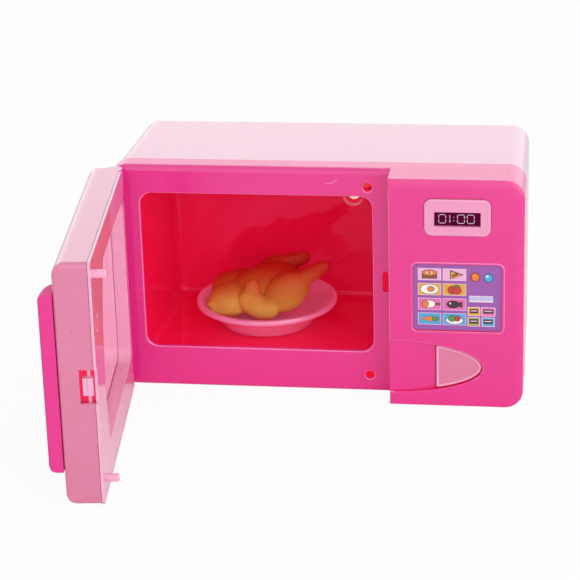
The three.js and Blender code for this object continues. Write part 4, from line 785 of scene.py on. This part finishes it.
# Door: a tray with its hinge barrel, an inner plate, a pane, a handle and a catch, drawn closed, then opened
door = {"x": (-79.6, 28.3), "z": (0.4, 91.1), "front": -13.8, "back": -1.45, "wall": 1.6, "edgeRound": 4.5,
        "hingeRound": 3, "endRound": 1.2, "corner": 2, "barrel": 3, "pinBore": 1.25, "pinGrip": 3.3,
        "plateBack": -0.3, "plateWall": 1, "plateLeft": -73.3, "edge": 0.25, "lugRoom": 0.6, "lugGap": 0.3}
window = {"left": -71.2, "z": (14.3, 80.5), "bowX": -65.45, "bowZ": 38.3, "bowRadius": 72.75,
          "hingeCorner": 6, "endCorner": 3, "lip": 1.2, "lipDepth": 5, "pane": 1, "gap": 0.3, "paneGrow": 1.4,
          "ridges": ((-2, 0.7), (-4.5, 0.7)), "ridgeRise": 0.35}
catch = {"z": (39.2, 52), "depth": 6.2, "tongueHalf": 3.25, "leafFront": 26.4, "thick": 1, "nose": 0.7,
         "gap": 0.3, "edge": 0.2}
peg = {"x": 20.1, "radius": 1.5, "tip": 4.3, "round": 0.6}
# Marks left by the mould's ejector pins: rings in the plate and dimples in the free end
pinMark = {"x": 19.5, "heights": (18.5, 66), "radius": 3.2, "width": 0.5, "depth": 0.2, "dimple": 0.5,
           "dimpleY": -8}


def windowTool(name, grow, y0, y1):
    w = window
    left, (low, high) = w["left"] - grow, widen(w["z"], grow)
    tool = addRod(name, "y", (w["bowX"], w["bowZ"]), w["bowRadius"] + grow, (y0, y1), sides=80)
    trim(tool, addBox("sides", (left, 40), widen((y0, y1), over), (low, high)))
    roundEdges(tool, along("y", lambda x, y, z: x < left + 0.1), w["hingeCorner"] + grow, 8)
    return roundEdges(tool, along("y", lambda x, y, z: x > -30 and not low + touch < z < high - touch),
                      w["endCorner"] + grow, 6)


# Inside of the door's free end, seen through the window of its catch, which gets a painted glow
def isCatchRoom(normal, x, y, z):
    d = door
    return ((x > 12 or x > 6 and normal.x > 0.3) and x < d["x"][1] - d["wall"] + 0.1 and normal.y < 0.5
            and abs(z - sum(catch["z"]) / 2) < 15
            and d["front"] + d["wall"] - 0.1 < y < d["back"] - 0.3)


def makeDoorShell():
    d, w = door, window
    front, wall, (left, right) = d["front"], d["wall"], d["x"]
    shell = addBox("door_shell_skin", d["x"], (front, d["back"]), d["z"])
    roundByWeight(shell, d["edgeRound"], [
        (inPlane("y", front, lambda x, y, z: z < 1 or z > 90), d["edgeRound"]),
        (inPlane("y", front, lambda x, y, z: x < -79), d["hingeRound"]),
        (inPlane("y", front, lambda x, y, z: x > 28), d["endRound"]),
        (along("y"), d["corner"]),
    ])
    hollow = addBox("hollow", widen(d["x"], -wall), (front + wall, d["back"] + over), widen(d["z"], -wall))
    cut(shell, roundEdges(hollow, inPlane("y", front + wall, lambda x, y, z: z < 3 or z > 88),
                          d["edgeRound"] - wall, 5))
    cut(shell, addBox("corner", (left - over, hingeX), (hingeY, over), widen(d["z"], over)))
    weld(shell, addRod("barrel", "z", (hingeX, hingeY), d["barrel"], d["z"]))
    weld(shell, windowTool("collar", w["lip"] + w["gap"] + wall, front + wall / 2, d["back"] - 0.3))
    seat = d["plateBack"] - w["lipDepth"] - w["pane"] - 2 * w["gap"]
    cut(shell, windowTool("seat", w["lip"] + w["gap"], seat, over))
    cut(shell, windowTool("opening", 0, front - over, over))
    reach = lug["radius"] + d["lugRoom"]
    for bottom in lug["bottoms"]:
        span = (bottom, bottom + lug["height"])
        cut(shell, addBox("room", (left - over, hingeX + reach), (hingeY - reach, over),
                          widen(span, d["lugGap"])))
        drill(shell, "z", (hingeX, hingeY), d["pinBore"], widen(span, d["pinGrip"]))
    cut(shell, addBox("catch", (right - wall - over, right + over), (d["plateBack"] - catch["depth"], over),
                      catch["z"]))
    for z in pinMark["heights"]:
        drill(shell, "x", (pinMark["dimpleY"], z), pinMark["dimple"],
              (right - pinMark["depth"], right + over), sides=20)
    softenEdges(shell, d["edge"])
    return markFaces(shell, 1, isCatchRoom)


def makeInnerPlate():
    d, w = door, window
    back, right = d["plateBack"], d["x"][1]
    front, core = back - d["plateWall"], back - d["plateWall"] / 2
    plate = addBox("door_inner_plate_skin", (d["plateLeft"], right), (front, back), d["z"])
    roundEdges(plate, along("y"), d["corner"] / 2, 5)
    weld(plate, windowTool("lip", w["lip"], back - w["lipDepth"], core))
    for z in pegHole["heights"]:
        pin = addRod("peg", "y", (peg["x"], z), peg["radius"], (core, peg["tip"]))
        weld(plate, roundEdges(pin, inPlane("y", peg["tip"]), peg["round"], 4))
    cut(plate, windowTool("opening", 0, back - w["lipDepth"] - over, over))
    for z in pinMark["heights"]:
        place, radius = (pinMark["x"], z), pinMark["radius"]
        mark = addRod("mark", "y", place, radius, (back - pinMark["depth"], over), sides=40)
        cut(plate, drill(mark, "y", place, radius - pinMark["width"], (back - over, 2), sides=40))
    cut(plate, addBox("notch", (right - d["wall"], right + over), (front - over, over), catch["z"]))
    return softenEdges(plate, d["edge"])


def makePane():
    w = window
    back = door["plateBack"] - w["lipDepth"] - w["gap"]
    span = (back - w["pane"], back)
    pane = windowTool("door_window_skin", w["paneGrow"], *span)
    for grow, width in w["ridges"]:
        ridge = windowTool("ridge", grow, *widen(span, w["ridgeRise"]))
        weld(pane, cut(ridge, windowTool("core", grow - width, *widen(span, over))))
    return softenEdges(pane, 0.1, 1)


# The handle thins from the door's free end towards the window; its section runs from left to right
handle = {"back": -14.1, "z": (12.9, 79.7), "corner": 2.9, "edge": 0.45,
          "section": ((17.5, -15.7), (21, -17.7), (26.4, -19.4), (28, -18.6))}


def makeHandle():
    h = handle
    section, back = h["section"], h["back"]
    crest = min(y for x, y in section)
    bar = addBox("door_handle_skin", (section[0][0], section[-1][0]), (crest, back), h["z"])
    for x, y in section[1:-1]:
        activate(bar)
        setMode("EDIT")
        bpy.ops.mesh.select_all(action="SELECT")
        bpy.ops.mesh.bisect(plane_co=at(x, 0, 0), plane_no=(1, 0, 0))
        setMode("OBJECT")
    for x, y in section:
        shiftEdges(bar, along("z", lambda px, py, pz: abs(px - x) < touch and abs(py - crest) < touch),
                   (0, y - crest, 0))
    ends = addBox("ends", (0, 40), (crest, back + 5), h["z"])
    trim(bar, roundEdges(ends, inPlane("y", crest, lambda px, py, pz: abs(px - 20) < 1), h["corner"], 6))
    return softenEdges(bar, h["edge"], 3, 20)


def makeCatch():
    c, right, thick = catch, door["x"][1], catch["thick"]
    middle, back = sum(c["z"]) / 2, door["back"] - c["gap"]
    front = back - c["depth"] / 2
    tall = widen((middle, middle), c["tongueHalf"])
    leaf = addBox("door_catch_skin", (c["leafFront"] - thick, c["leafFront"]), (front + thick, back - thick),
                  widen(c["z"], door["wall"]))
    weld(leaf, addBox("tongue", (c["leafFront"] - thick / 2, right), (front - thick / 2, back), tall))
    weld(leaf, addRod("nose", "z", (right - c["nose"], (front + back) / 2), thick, widen(tall, -c["gap"]),
                      sides=24))
    return softenEdges(leaf, c["edge"])


for make, materials, slotName, node in (
        (makeDoorShell, "doorPink catchGlow", "door_pink_abs", "door_shell"),
        (makeInnerPlate, "innerPink", "door_pink_abs", "door_inner_plate"),
        (makePane, "window", "window_pink", "door_window"),
        (makeHandle, "gripPink", "hot_pink_abs", "door_handle"),
        (makeCatch, "doorEdge", "pale_pink_abs", "door_catch")):
    finishPiece(openDoor(make()), materials, "door", [node])
print("door done")

# Display: a dished frame round a printed label with a clock reading in seven-segment figures
reading = {"window": ((46.3, 63.7), (73.6, 79.3)), "round": 0.45, "land": 0.6, "rim": 0.4, "dish": 0.15,
           "back": -11.25, "front": -11, "label": ((45.4, 64.6), (72.8, 80.2)), "corner": 0.5,
           "thick": 0.25, "ink": 0.04, "stroke": 0.28, "space": 0.08, "size": (2.6, 3.3), "bottom": 74.5,
           "text": "0100", "starts": (47.95, 49.5, 54.95, 58.6), "colon": 53.55, "dots": (0.28, 0.72)}
segments = {"a": ((0, 1), (1, 1)), "b": ((1, 0.5), (1, 1)), "c": ((1, 0), (1, 0.5)), "d": ((0, 0), (1, 0)),
            "e": ((0, 0), (0, 0.5)), "f": ((0, 0.5), (0, 1))}
figures = {"0": "abcdef", "1": "bc"}


def makeBezel():
    d, r = display, reading
    ring = addBox("display_bezel_skin", d["x"], (d["front"], r["back"]), d["z"])
    roundEdges(ring, along("y"), d["corner"], 8)
    roundEdges(ring, inPlane("y", d["front"]), r["round"], 4)
    insetFace(ring, d["front"], ((r["land"], 0), (r["rim"], r["dish"])))
    cut(ring, addBox("window", r["window"][0], widen((d["front"], r["back"]), over), r["window"][1]))
    (x0, x1), (z0, z1) = (widen(d[axis], -r["rim"] - 0.1) for axis in "xz")
    # The bezel's slanted rim faces get the painted highlight
    return markFaces(ring, 1, lambda normal, x, y, z: normal.y < -0.05 and not (x0 < x < x1 and z0 < z < z1))


def makeLabel():
    r = reading
    label = addBox("display_label_skin", r["label"][0], (r["front"], r["front"] + r["thick"]), r["label"][1])
    return roundEdges(label, along("y"), r["corner"], 4)


def makeFigures():
    r = reading
    (width, height), half, bottom = r["size"], r["stroke"] / 2, r["bottom"]
    depth = (r["front"] - r["ink"], r["front"])
    bars = []
    for figure, start in zip(r["text"], r["starts"]):
        for name in figures[figure]:
            (u0, v0), (u1, v1) = segments[name]
            level = v0 == v1
            trimX = half + r["space"] if level else -half
            trimZ = -half if level else half + r["space"]
            bars.append(addBox("bar", widen((start + u0 * width, start + u1 * width), -trimX), depth,
                               widen((bottom + v0 * height, bottom + v1 * height), -trimZ)))
    for share in r["dots"]:
        z = bottom + share * height
        bars.append(addBox("dot", widen((r["colon"],) * 2, half), depth, widen((z, z), half)))
    return joinAll(bars, "display_figures")


finishPiece(makeBezel(), "bezelPink doorEdge", "oven_body", ["display_bezel"])
finishPiece(makeLabel(), "label", "oven_body", ["display_label"])
finishPiece(makeFigures(), "digit", "oven_body")
print("display done")

# Release button: a dished thumb pad with a flange behind it and a post to the lever
button = {"left": 46.85, "gap": 0.45, "front": -11.1, "flangeFront": -7.7, "flangeBack": -6.3, "flange": 1.2,
          "corner": 0.8, "edge": 0.4, "rim": 0.5, "dish": 0.25, "post": (50.5, 53.5), "postEnd": 7.7,
          "postZ": (5.5, 11.3)}


def makeButton():
    b = button
    pad = scoopTool("release_button_skin", -b["gap"], b["front"], b["flangeFront"] + 0.5)
    trim(pad, cornerRoom(b["left"]))
    roundEdges(pad, along("y", lambda x, y, z: x < b["left"] + touch), b["corner"], 4)
    roundEdges(pad, inPlane("y", b["front"]), b["edge"], 4)
    insetFace(pad, b["front"], ((b["rim"], b["dish"]),))
    flange = scoopTool("flange", b["flange"] - b["gap"], b["flangeFront"], b["flangeBack"])
    trim(flange, cornerRoom(b["left"]))
    weld(flange, addBox("post", b["post"], (b["flangeFront"], b["postEnd"]), b["postZ"]))
    weld(pad, flange)
    # The pad's slanted edge faces get the painted highlight
    return markFaces(pad, 1, lambda normal, x, y, z: -0.975 < normal.y < -0.1 and y < b["front"] + 0.6)


finishPiece(makeButton(), "doorPink doorEdge", "button", ["release_button"])
print("release button done")


# Keypad: a purple label in the raised rim, with printed keys on it
def makeSticker():
    k = keypad
    label = addBox("keypad_label_skin", k["x"], (k["floor"] - k["film"], k["floor"]), k["z"])
    return roundEdges(label, along("y"), k["corner"], 6)


finishPiece(makeSticker(), "sticker", "oven_body", ["keypad_label"])

inks = {"lilac": "#EBB4DA", "mustard": "#E2AB35", "rose": "#E86CB2", "sky": "#52AADA", "pale": "#F3D6EA",
        "white": "#FBF6F2", "brown": "#8E4E26", "orange": "#E8803A", "red": "#C63A30", "green": "#4F9A48",
        "dark": "#3A2A30", "deepBlue": "#2F5FA8", "olive": "#A9A24E"}
for ink, colour in inks.items():
    finish[ink] = mouldedPlastic("printed " + ink + " ink", colour, colour, 0.34)
keyGrid = {"columns": (44.45, 53.9), "top": 54.2, "pitch": 6.0, "half": (4.2, 2.2), "border": 0.2,
           "rows": ("lilac", "mustard", "rose", "sky"), "inkStep": 0.02, "outline": 0.17}
# Small pictures of food, each a list of flat shapes: ink, centre, half sizes, sides, turn and layer
pictures = (
    (("brown", 0, -0.3, 2.7, 1.3, 4, 45, 1), ("orange", 0, 0.6, 2.7, 1.1, 24, 0, 2),
     ("white", -0.9, 0.6, 0.25, 0.7, 24, 0, 3), ("white", 0.9, 0.6, 0.25, 0.7, 24, 0, 3)),
    (("dark", 0, 0, 3.3, 2.0, 3, 30, 1), ("mustard", 0, -0.1, 2.8, 1.6, 3, 30, 2),
     ("red", -0.4, -0.4, 0.5, 0.45, 16, 0, 3), ("red", 0.8, 0.1, 0.5, 0.45, 16, 0, 3)),
    (("white", 0, 0, 3.4, 1.9, 24, 0, 1), ("orange", 0.5, 0.1, 1.3, 1.0, 24, 0, 2)),
    (("red", -0.9, -0.2, 1.6, 1.6, 24, 0, 1), ("red", 0.9, -0.2, 1.6, 1.6, 24, 0, 2),
     ("green", 0.8, 1.5, 0.9, 0.4, 16, 20, 3)),
    (("brown", 2.8, 0, 1.2, 0.3, 4, 45, 1), ("white", -0.4, 0, 2.5, 1.5, 24, 0, 2),
     ("orange", -1.6, 0, 1.2, 1.3, 24, 0, 3)),
    (("dark", 2.1, 0, 1.5, 1.5, 3, 90, 1), ("dark", -0.5, 0, 2.4, 1.4, 24, 0, 2),
     ("white", -1.6, 0.4, 0.35, 0.35, 16, 0, 3)),
    (("green", 2.2, 0, 1.4, 1.0, 5, 0, 1), ("orange", -0.6, 0, 3.1, 1.4, 3, 90, 2)),
    (("white", 0, -0.5, 3.2, 1.4, 24, 0, 1), ("green", -0.9, 0.3, 1.4, 1.2, 24, 0, 2),
     ("red", 1.1, 0.3, 1.0, 1.0, 24, 0, 3)),
)
# Ink, centre, radius and layer
roundKeys = (("dark", 61.7, 53.4, 1.9, 1), ("red", 61.7, 53.4, 1.75, 2), ("orange", 61.7, 53.4, 1.4, 3),
             ("deepBlue", 66.7, 53.2, 1.9, 1), ("sky", 66.7, 53.2, 1.45, 2), ("white", 66.2, 53.8, 0.5, 3),
             ("mustard", 61.3, 54.0, 0.45, 4))
# Ink, centre and half sizes
smallKeys = (("mustard", 61.25, 39.5, 2.1, 1.55), ("rose", 66.7, 39.5, 2.4, 1.55),
             ("olive", 61.2, 35.35, 2.1, 1.6), ("sky", 66.65, 35.35, 2.2, 1.6))
scaleBar = {"x": (59.4, 68.5), "z": (43.3, 45.9), "ticks": 12, "shade": 0.15}


# A flat printed shape on the keypad's label; its layer says how far it stands over the film
def addPrint(shapes, ink, x, z, across, up, sides=4, turn=45, layer=1):
    front = keypad["floor"] - keypad["film"]
    share = 1 / math.cos(math.pi / 4) if sides == 4 and turn == 45 else 1
    shape = addRod("print", "y", (0, 0), 1, (front - layer * keyGrid["inkStep"], front), sides=sides)
    shape.rotation_euler = (0, math.radians(turn), 0)
    settle(shape)
    shape.scale = (across * share, 1, up * share)
    shape.location = (x * mm, 0, z * mm)
    shapes.setdefault(ink, []).append(settle(shape))


def printKeypad():
    g, b, shapes = keyGrid, scaleBar, {}
    wide, tall = g["half"]
    line = g["outline"]
    for row, ink in enumerate(g["rows"]):
        for column, x in enumerate(g["columns"]):
            z = g["top"] - row * g["pitch"]
            addPrint(shapes, "pale", x, z, wide + g["border"], tall + g["border"])
            addPrint(shapes, ink, x, z, wide, tall, layer=2)
            for colour, dx, dz, across, up, sides, turn, layer in pictures[row * 2 + column]:
                place, form = (x + dx, z + dz), (sides, turn)
                addPrint(shapes, "dark", *place, across + line, up + line, *form, layer + 1.5)
                addPrint(shapes, colour, *place, across, up, *form, layer + 2)
    for ink, x, z, radius, layer in roundKeys:
        addPrint(shapes, ink, x, z, radius, radius, 32, 0, layer)
    for ink, x, z, across, up in smallKeys:
        addPrint(shapes, "pale", x, z, across + 0.25, up + 0.25)
        addPrint(shapes, ink, x, z, across, up, layer=2)
        addPrint(shapes, "dark", x, z + 0.2, across - 0.5, up - 0.7, layer=3)
        addPrint(shapes, "pale", x, z + 0.3, across - 0.9, 0.18, layer=4)
    middle, level = sum(b["x"]) / 2, sum(b["z"]) / 2
    half, rise = (b["x"][1] - b["x"][0]) / 2, (b["z"][1] - b["z"][0]) / 2
    addPrint(shapes, "deepBlue", middle + b["shade"], level - b["shade"], half, rise)
    addPrint(shapes, "pale", middle, level, half, rise, layer=2)
    for i in range(b["ticks"]):
        share = (i + 0.5) / b["ticks"]
        addPrint(shapes, "sky", middle - half + 2 * half * share, level + 0.2, 0.16, rise - 0.5, layer=3)
    for ink, parts in shapes.items():
        finishPiece(joinAll(parts, "keypad_print_" + ink), ink, "oven_body")


printKeypad()
print("keypad done")

# Dish: a foot, a sloping wall, a rounded rim and the inside, turned about the turntable's axis
dishOutside = ((17.2, 17.3), (17.8, 17.4), (18.6, 18.3), (20.5, 20.6), (23, 23), (25.2, 24.8), (26.4, 25.6),
               (27.6, 25.75), (28.2, 26.0), (28.35, 26.6), (28.3, 27.2), (28.0, 27.65), (27.4, 27.8))
dishInside = ((26.6, 27.75), (25.9, 27.4), (24.2, 25.9), (21.8, 23.8), (19.2, 21.9), (17, 21.0),
              (14.5, 20.75), (10, 20.7))
dishSocket = {"radius": 4.3, "span": (16, 20)}


def makeDish():
    axis = (spindle["x"], spindle["y"])
    dish = turnShape("dish_skin", (*axis, 0), dishOutside + dishInside)
    return drill(dish, "z", axis, dishSocket["radius"], dishSocket["span"])


finishPiece(makeDish(), "dish", "turntable", ["dish"])
print("dish done")

# Roast chicken: round masses blended into one moulding that rests in the dish
bird = {"size": (50, 27, 22), "seat": 20.7, "voxel": 0.4, "smooth": 12, "clear": 0.03,
        "plateSide": ((28.6, 16), (28.6, 27.9))}
# Each mass has its centre and half sizes, as shares of the bird's size, and a tilt in radians
birdMasses = (
    ((-0.02, 0.056, 0.455), (0.33, 0.389, 0.432), -0.35),  # body
    ((-0.28, -0.185, 0.318), (0.186, 0.304, 0.327), -0.15),  # breast
    ((-0.36, -0.35, 0.3), (0.1, 0.1, 0.1), 0),
    ((-0.29, 0.222, 0.364), (0.18, 0.278, 0.318), 0),
    ((0.18, -0.278, 0.545), (0.21, 0.215, 0.341), -0.7),  # near leg
    ((0.36, -0.252, 0.87), (0.19, 0.11, 0.15), -0.55),
    ((0.488, -0.233, 1.035), (0.054, 0.09, 0.11), -0.5),
    ((0.06, 0.296, 0.605), (0.19, 0.185, 0.377), -0.4),  # far leg
    ((0.19, 0.296, 0.9), (0.156, 0.111, 0.145), -0.2),
    ((0.284, 0.296, 0.977), (0.05, 0.093, 0.109), -0.2),
    ((-0.1, -0.345, 0.48), (0.075, 0.104, 0.34), 0.2),  # near wing
    ((-0.075, -0.41, 0.36), (0.135, 0.1, 0.23), 0.6),
    ((0.0, -0.444, 0.27), (0.13, 0.111, 0.19), 0.15),
    ((-0.26, 0.407, 0.455), (0.12, 0.096, 0.2), -0.3),  # far wing
    ((-0.3, -0.352, 0.218), (0.148, 0.122, 0.118), 0),  # neck end
)


def makeBird():
    b = bird
    masses = []
    for centre, half, tilt in birdMasses:
        deselect()
        x, y, z = (share * size for share, size in zip(centre, b["size"]))
        bpy.ops.mesh.primitive_uv_sphere_add(segments=32, ring_count=20, radius=1, rotation=(0, tilt, 0),
                                             location=at(x + spindle["x"], y + spindle["y"], z + b["seat"]))
        mass = bpy.context.object
        mass.scale = [share * size * mm for share, size in zip(half, b["size"])]
        masses.append(settle(mass))
    roast = joinAll(masses, "chicken_skin")
    applyModifier(roast, "REMESH", mode="VOXEL", voxel_size=b["voxel"] * mm)
    applyModifier(roast, "SMOOTH", iterations=b["smooth"], factor=0.5)
    plate = b["plateSide"] + tuple((radius, height + b["clear"]) for radius, height in dishInside)
    return cut(roast, turnShape("plate", (spindle["x"], spindle["y"], 0), plate))


finishPiece(makeBird(), "roast", "turntable", ["chicken"], smooth=60)
print("chicken done")

# Lamp: a ringed cup in the cavity's back wall with a clear bulb in it; radius and depth
lampShape = ((5.0, 61.9), (5.0, 58.15), (7.0, 58.15), (7.0, 57.9), (6.85, 57.65), (6.6, 57.5), (4.5, 57.5),
             (4.25, 57.6), (4.2, 57.9), (4.0, 59.9), (3.3, 60.7), (3.1, 60.9))
bulbShape = ((2.7, 61.85), (2.7, 60.95), (2.2, 60.9), (2.2, 60.4), (2.1, 59.8), (1.85, 59.2), (1.4, 58.7),
             (0.8, 58.4), (0.3, 58.3))
lampSocket = {"radius": 3, "span": (60, 63)}


# The lamp ring's rounded rims get a painted highlight
def isLampRim(normal, x, y, z):
    reach = math.hypot(x - lamp["x"], z - lamp["z"])
    return reach > 6.6 or 4.05 < reach < 4.45 and y < 59


def makeLamp():
    centre = (lamp["x"], 0, lamp["z"])
    holder = turnShape("lamp_holder_skin", centre, lampShape, 64, towardsBack=True)
    drill(holder, "y", (lamp["x"], lamp["z"]), lampSocket["radius"], lampSocket["span"])
    finishPiece(markFaces(holder, 1, isLampRim), "cavity lampPink", "oven_body",
                ["lamp_holder"])
    finishPiece(turnShape("lamp_bulb_skin", centre, bulbShape, 32, towardsBack=True), "bulb", "oven_body",
                ["lamp_bulb"])


makeLamp()
print("lamp done")

# The pieces inside keep their own shapes
insideFinish = {
    "board": "lamp_board sound_board",
    # The switch plunger gets the painted glow
    "innerGlow": "switch_plunger",
    "ivory": "lamp_switch button_carrier release_lever drive_bracket drive_spindle motor_pinion",
    "black": "speaker battery_box",
    "steel": "drive_motor button_spring lever_pin hinge_pin_1 hinge_pin_2 battery_hatch_screw case_screw_1 "
             "case_screw_2 case_screw_3 case_screw_4 board_screw_1 board_screw_2 bracket_screw_1 "
             "bracket_screw_2 cell_spring_1 cell_spring_2",
    "brass": "contact_strip_top contact_strip_bottom",
    "jacket": "cell_1 cell_2",
}
for material, names in insideFinish.items():
    for name in names.split():
        piece = bpy.data.objects[name]
        if not piece.material_slots:
            piece.data.materials.append(None)
        for slot in piece.material_slots:
            slot.material = finish[material]
print("inside pieces done")

# Floor, lamps and world; a lamp has its place, the size of its square and its power
studio = {"floor": 6, "key": (100, -1000, 650, 1.5, 3.1), "fill": (800, -700, 350, 1.2, 6.2),
          "back": (0, 1400, 500, 2.4, 9), "aim": (0, 0, 40), "world": 0.55, "paperGlow": 0.94}
white = (1, 1, 1, 1)


# Matt white paper, which the camera sees lit from within so that it runs into the white background
def makeFloor():
    deselect()
    bpy.ops.mesh.primitive_plane_add(size=studio["floor"], location=(0, 0, 0))
    floor = bpy.context.object
    floor.name = "floor"
    material, tree, shader = newMaterial("white paper sweep", {
        "Base Color": white, "Roughness": 0.9, "Specular IOR Level": 0.0})
    path = addNode(tree, "ShaderNodeLightPath")
    glow = addNode(tree, "ShaderNodeEmission", {"Color": white, "Strength": 1.0})
    share = addNode(tree, "ShaderNodeMath", {1: studio["paperGlow"]}, {0: path.outputs["Is Camera Ray"]},
                    operation="MULTIPLY")
    mix = addNode(tree, "ShaderNodeMixShader", None,
                  {"Fac": share.outputs[0], 1: shader.outputs[0], 2: glow.outputs[0]})
    out = next(node for node in tree.nodes if node.type == "OUTPUT_MATERIAL")
    linkSockets(tree, out, {"Surface": mix.outputs[0]})
    floor.data.materials.append(material)


def addLamp(name, x, y, z, size, power):
    deselect()
    bpy.ops.object.light_add(type="AREA", location=at(x, y, z))
    light = bpy.context.object
    light.name = name
    light.data.size = size
    light.data.energy = power
    light.rotation_euler = (at(*studio["aim"]) - at(x, y, z)).to_track_quat("-Z", "Y").to_euler()


# A soft world that the camera, reflections and clear pieces see as plain white
def makeWorld():
    world = bpy.data.worlds.new("studio")
    bpy.context.scene.world = world
    world.use_nodes = True
    tree = world.node_tree
    tree.nodes.clear()
    path = addNode(tree, "ShaderNodeLightPath").outputs
    seen = path["Is Camera Ray"]
    for ray in ("Is Glossy Ray", "Is Transmission Ray"):
        seen = addNode(tree, "ShaderNodeMath", None, {0: seen, 1: path[ray]}, operation="MAXIMUM").outputs[0]
    soft, plain = (addNode(tree, "ShaderNodeBackground", {"Color": white, "Strength": strength}).outputs[0]
                   for strength in (studio["world"], 1.0))
    mix = addNode(tree, "ShaderNodeMixShader", None, {"Fac": seen, 1: soft, 2: plain})
    addNode(tree, "ShaderNodeOutputWorld", None, {"Surface": mix.outputs[0]})


makeFloor()
for name in ("key", "fill", "back"):
    addLamp(name, *studio[name])
makeWorld()
bpy.context.scene.view_settings.view_transform = "Standard"
print("studio done")
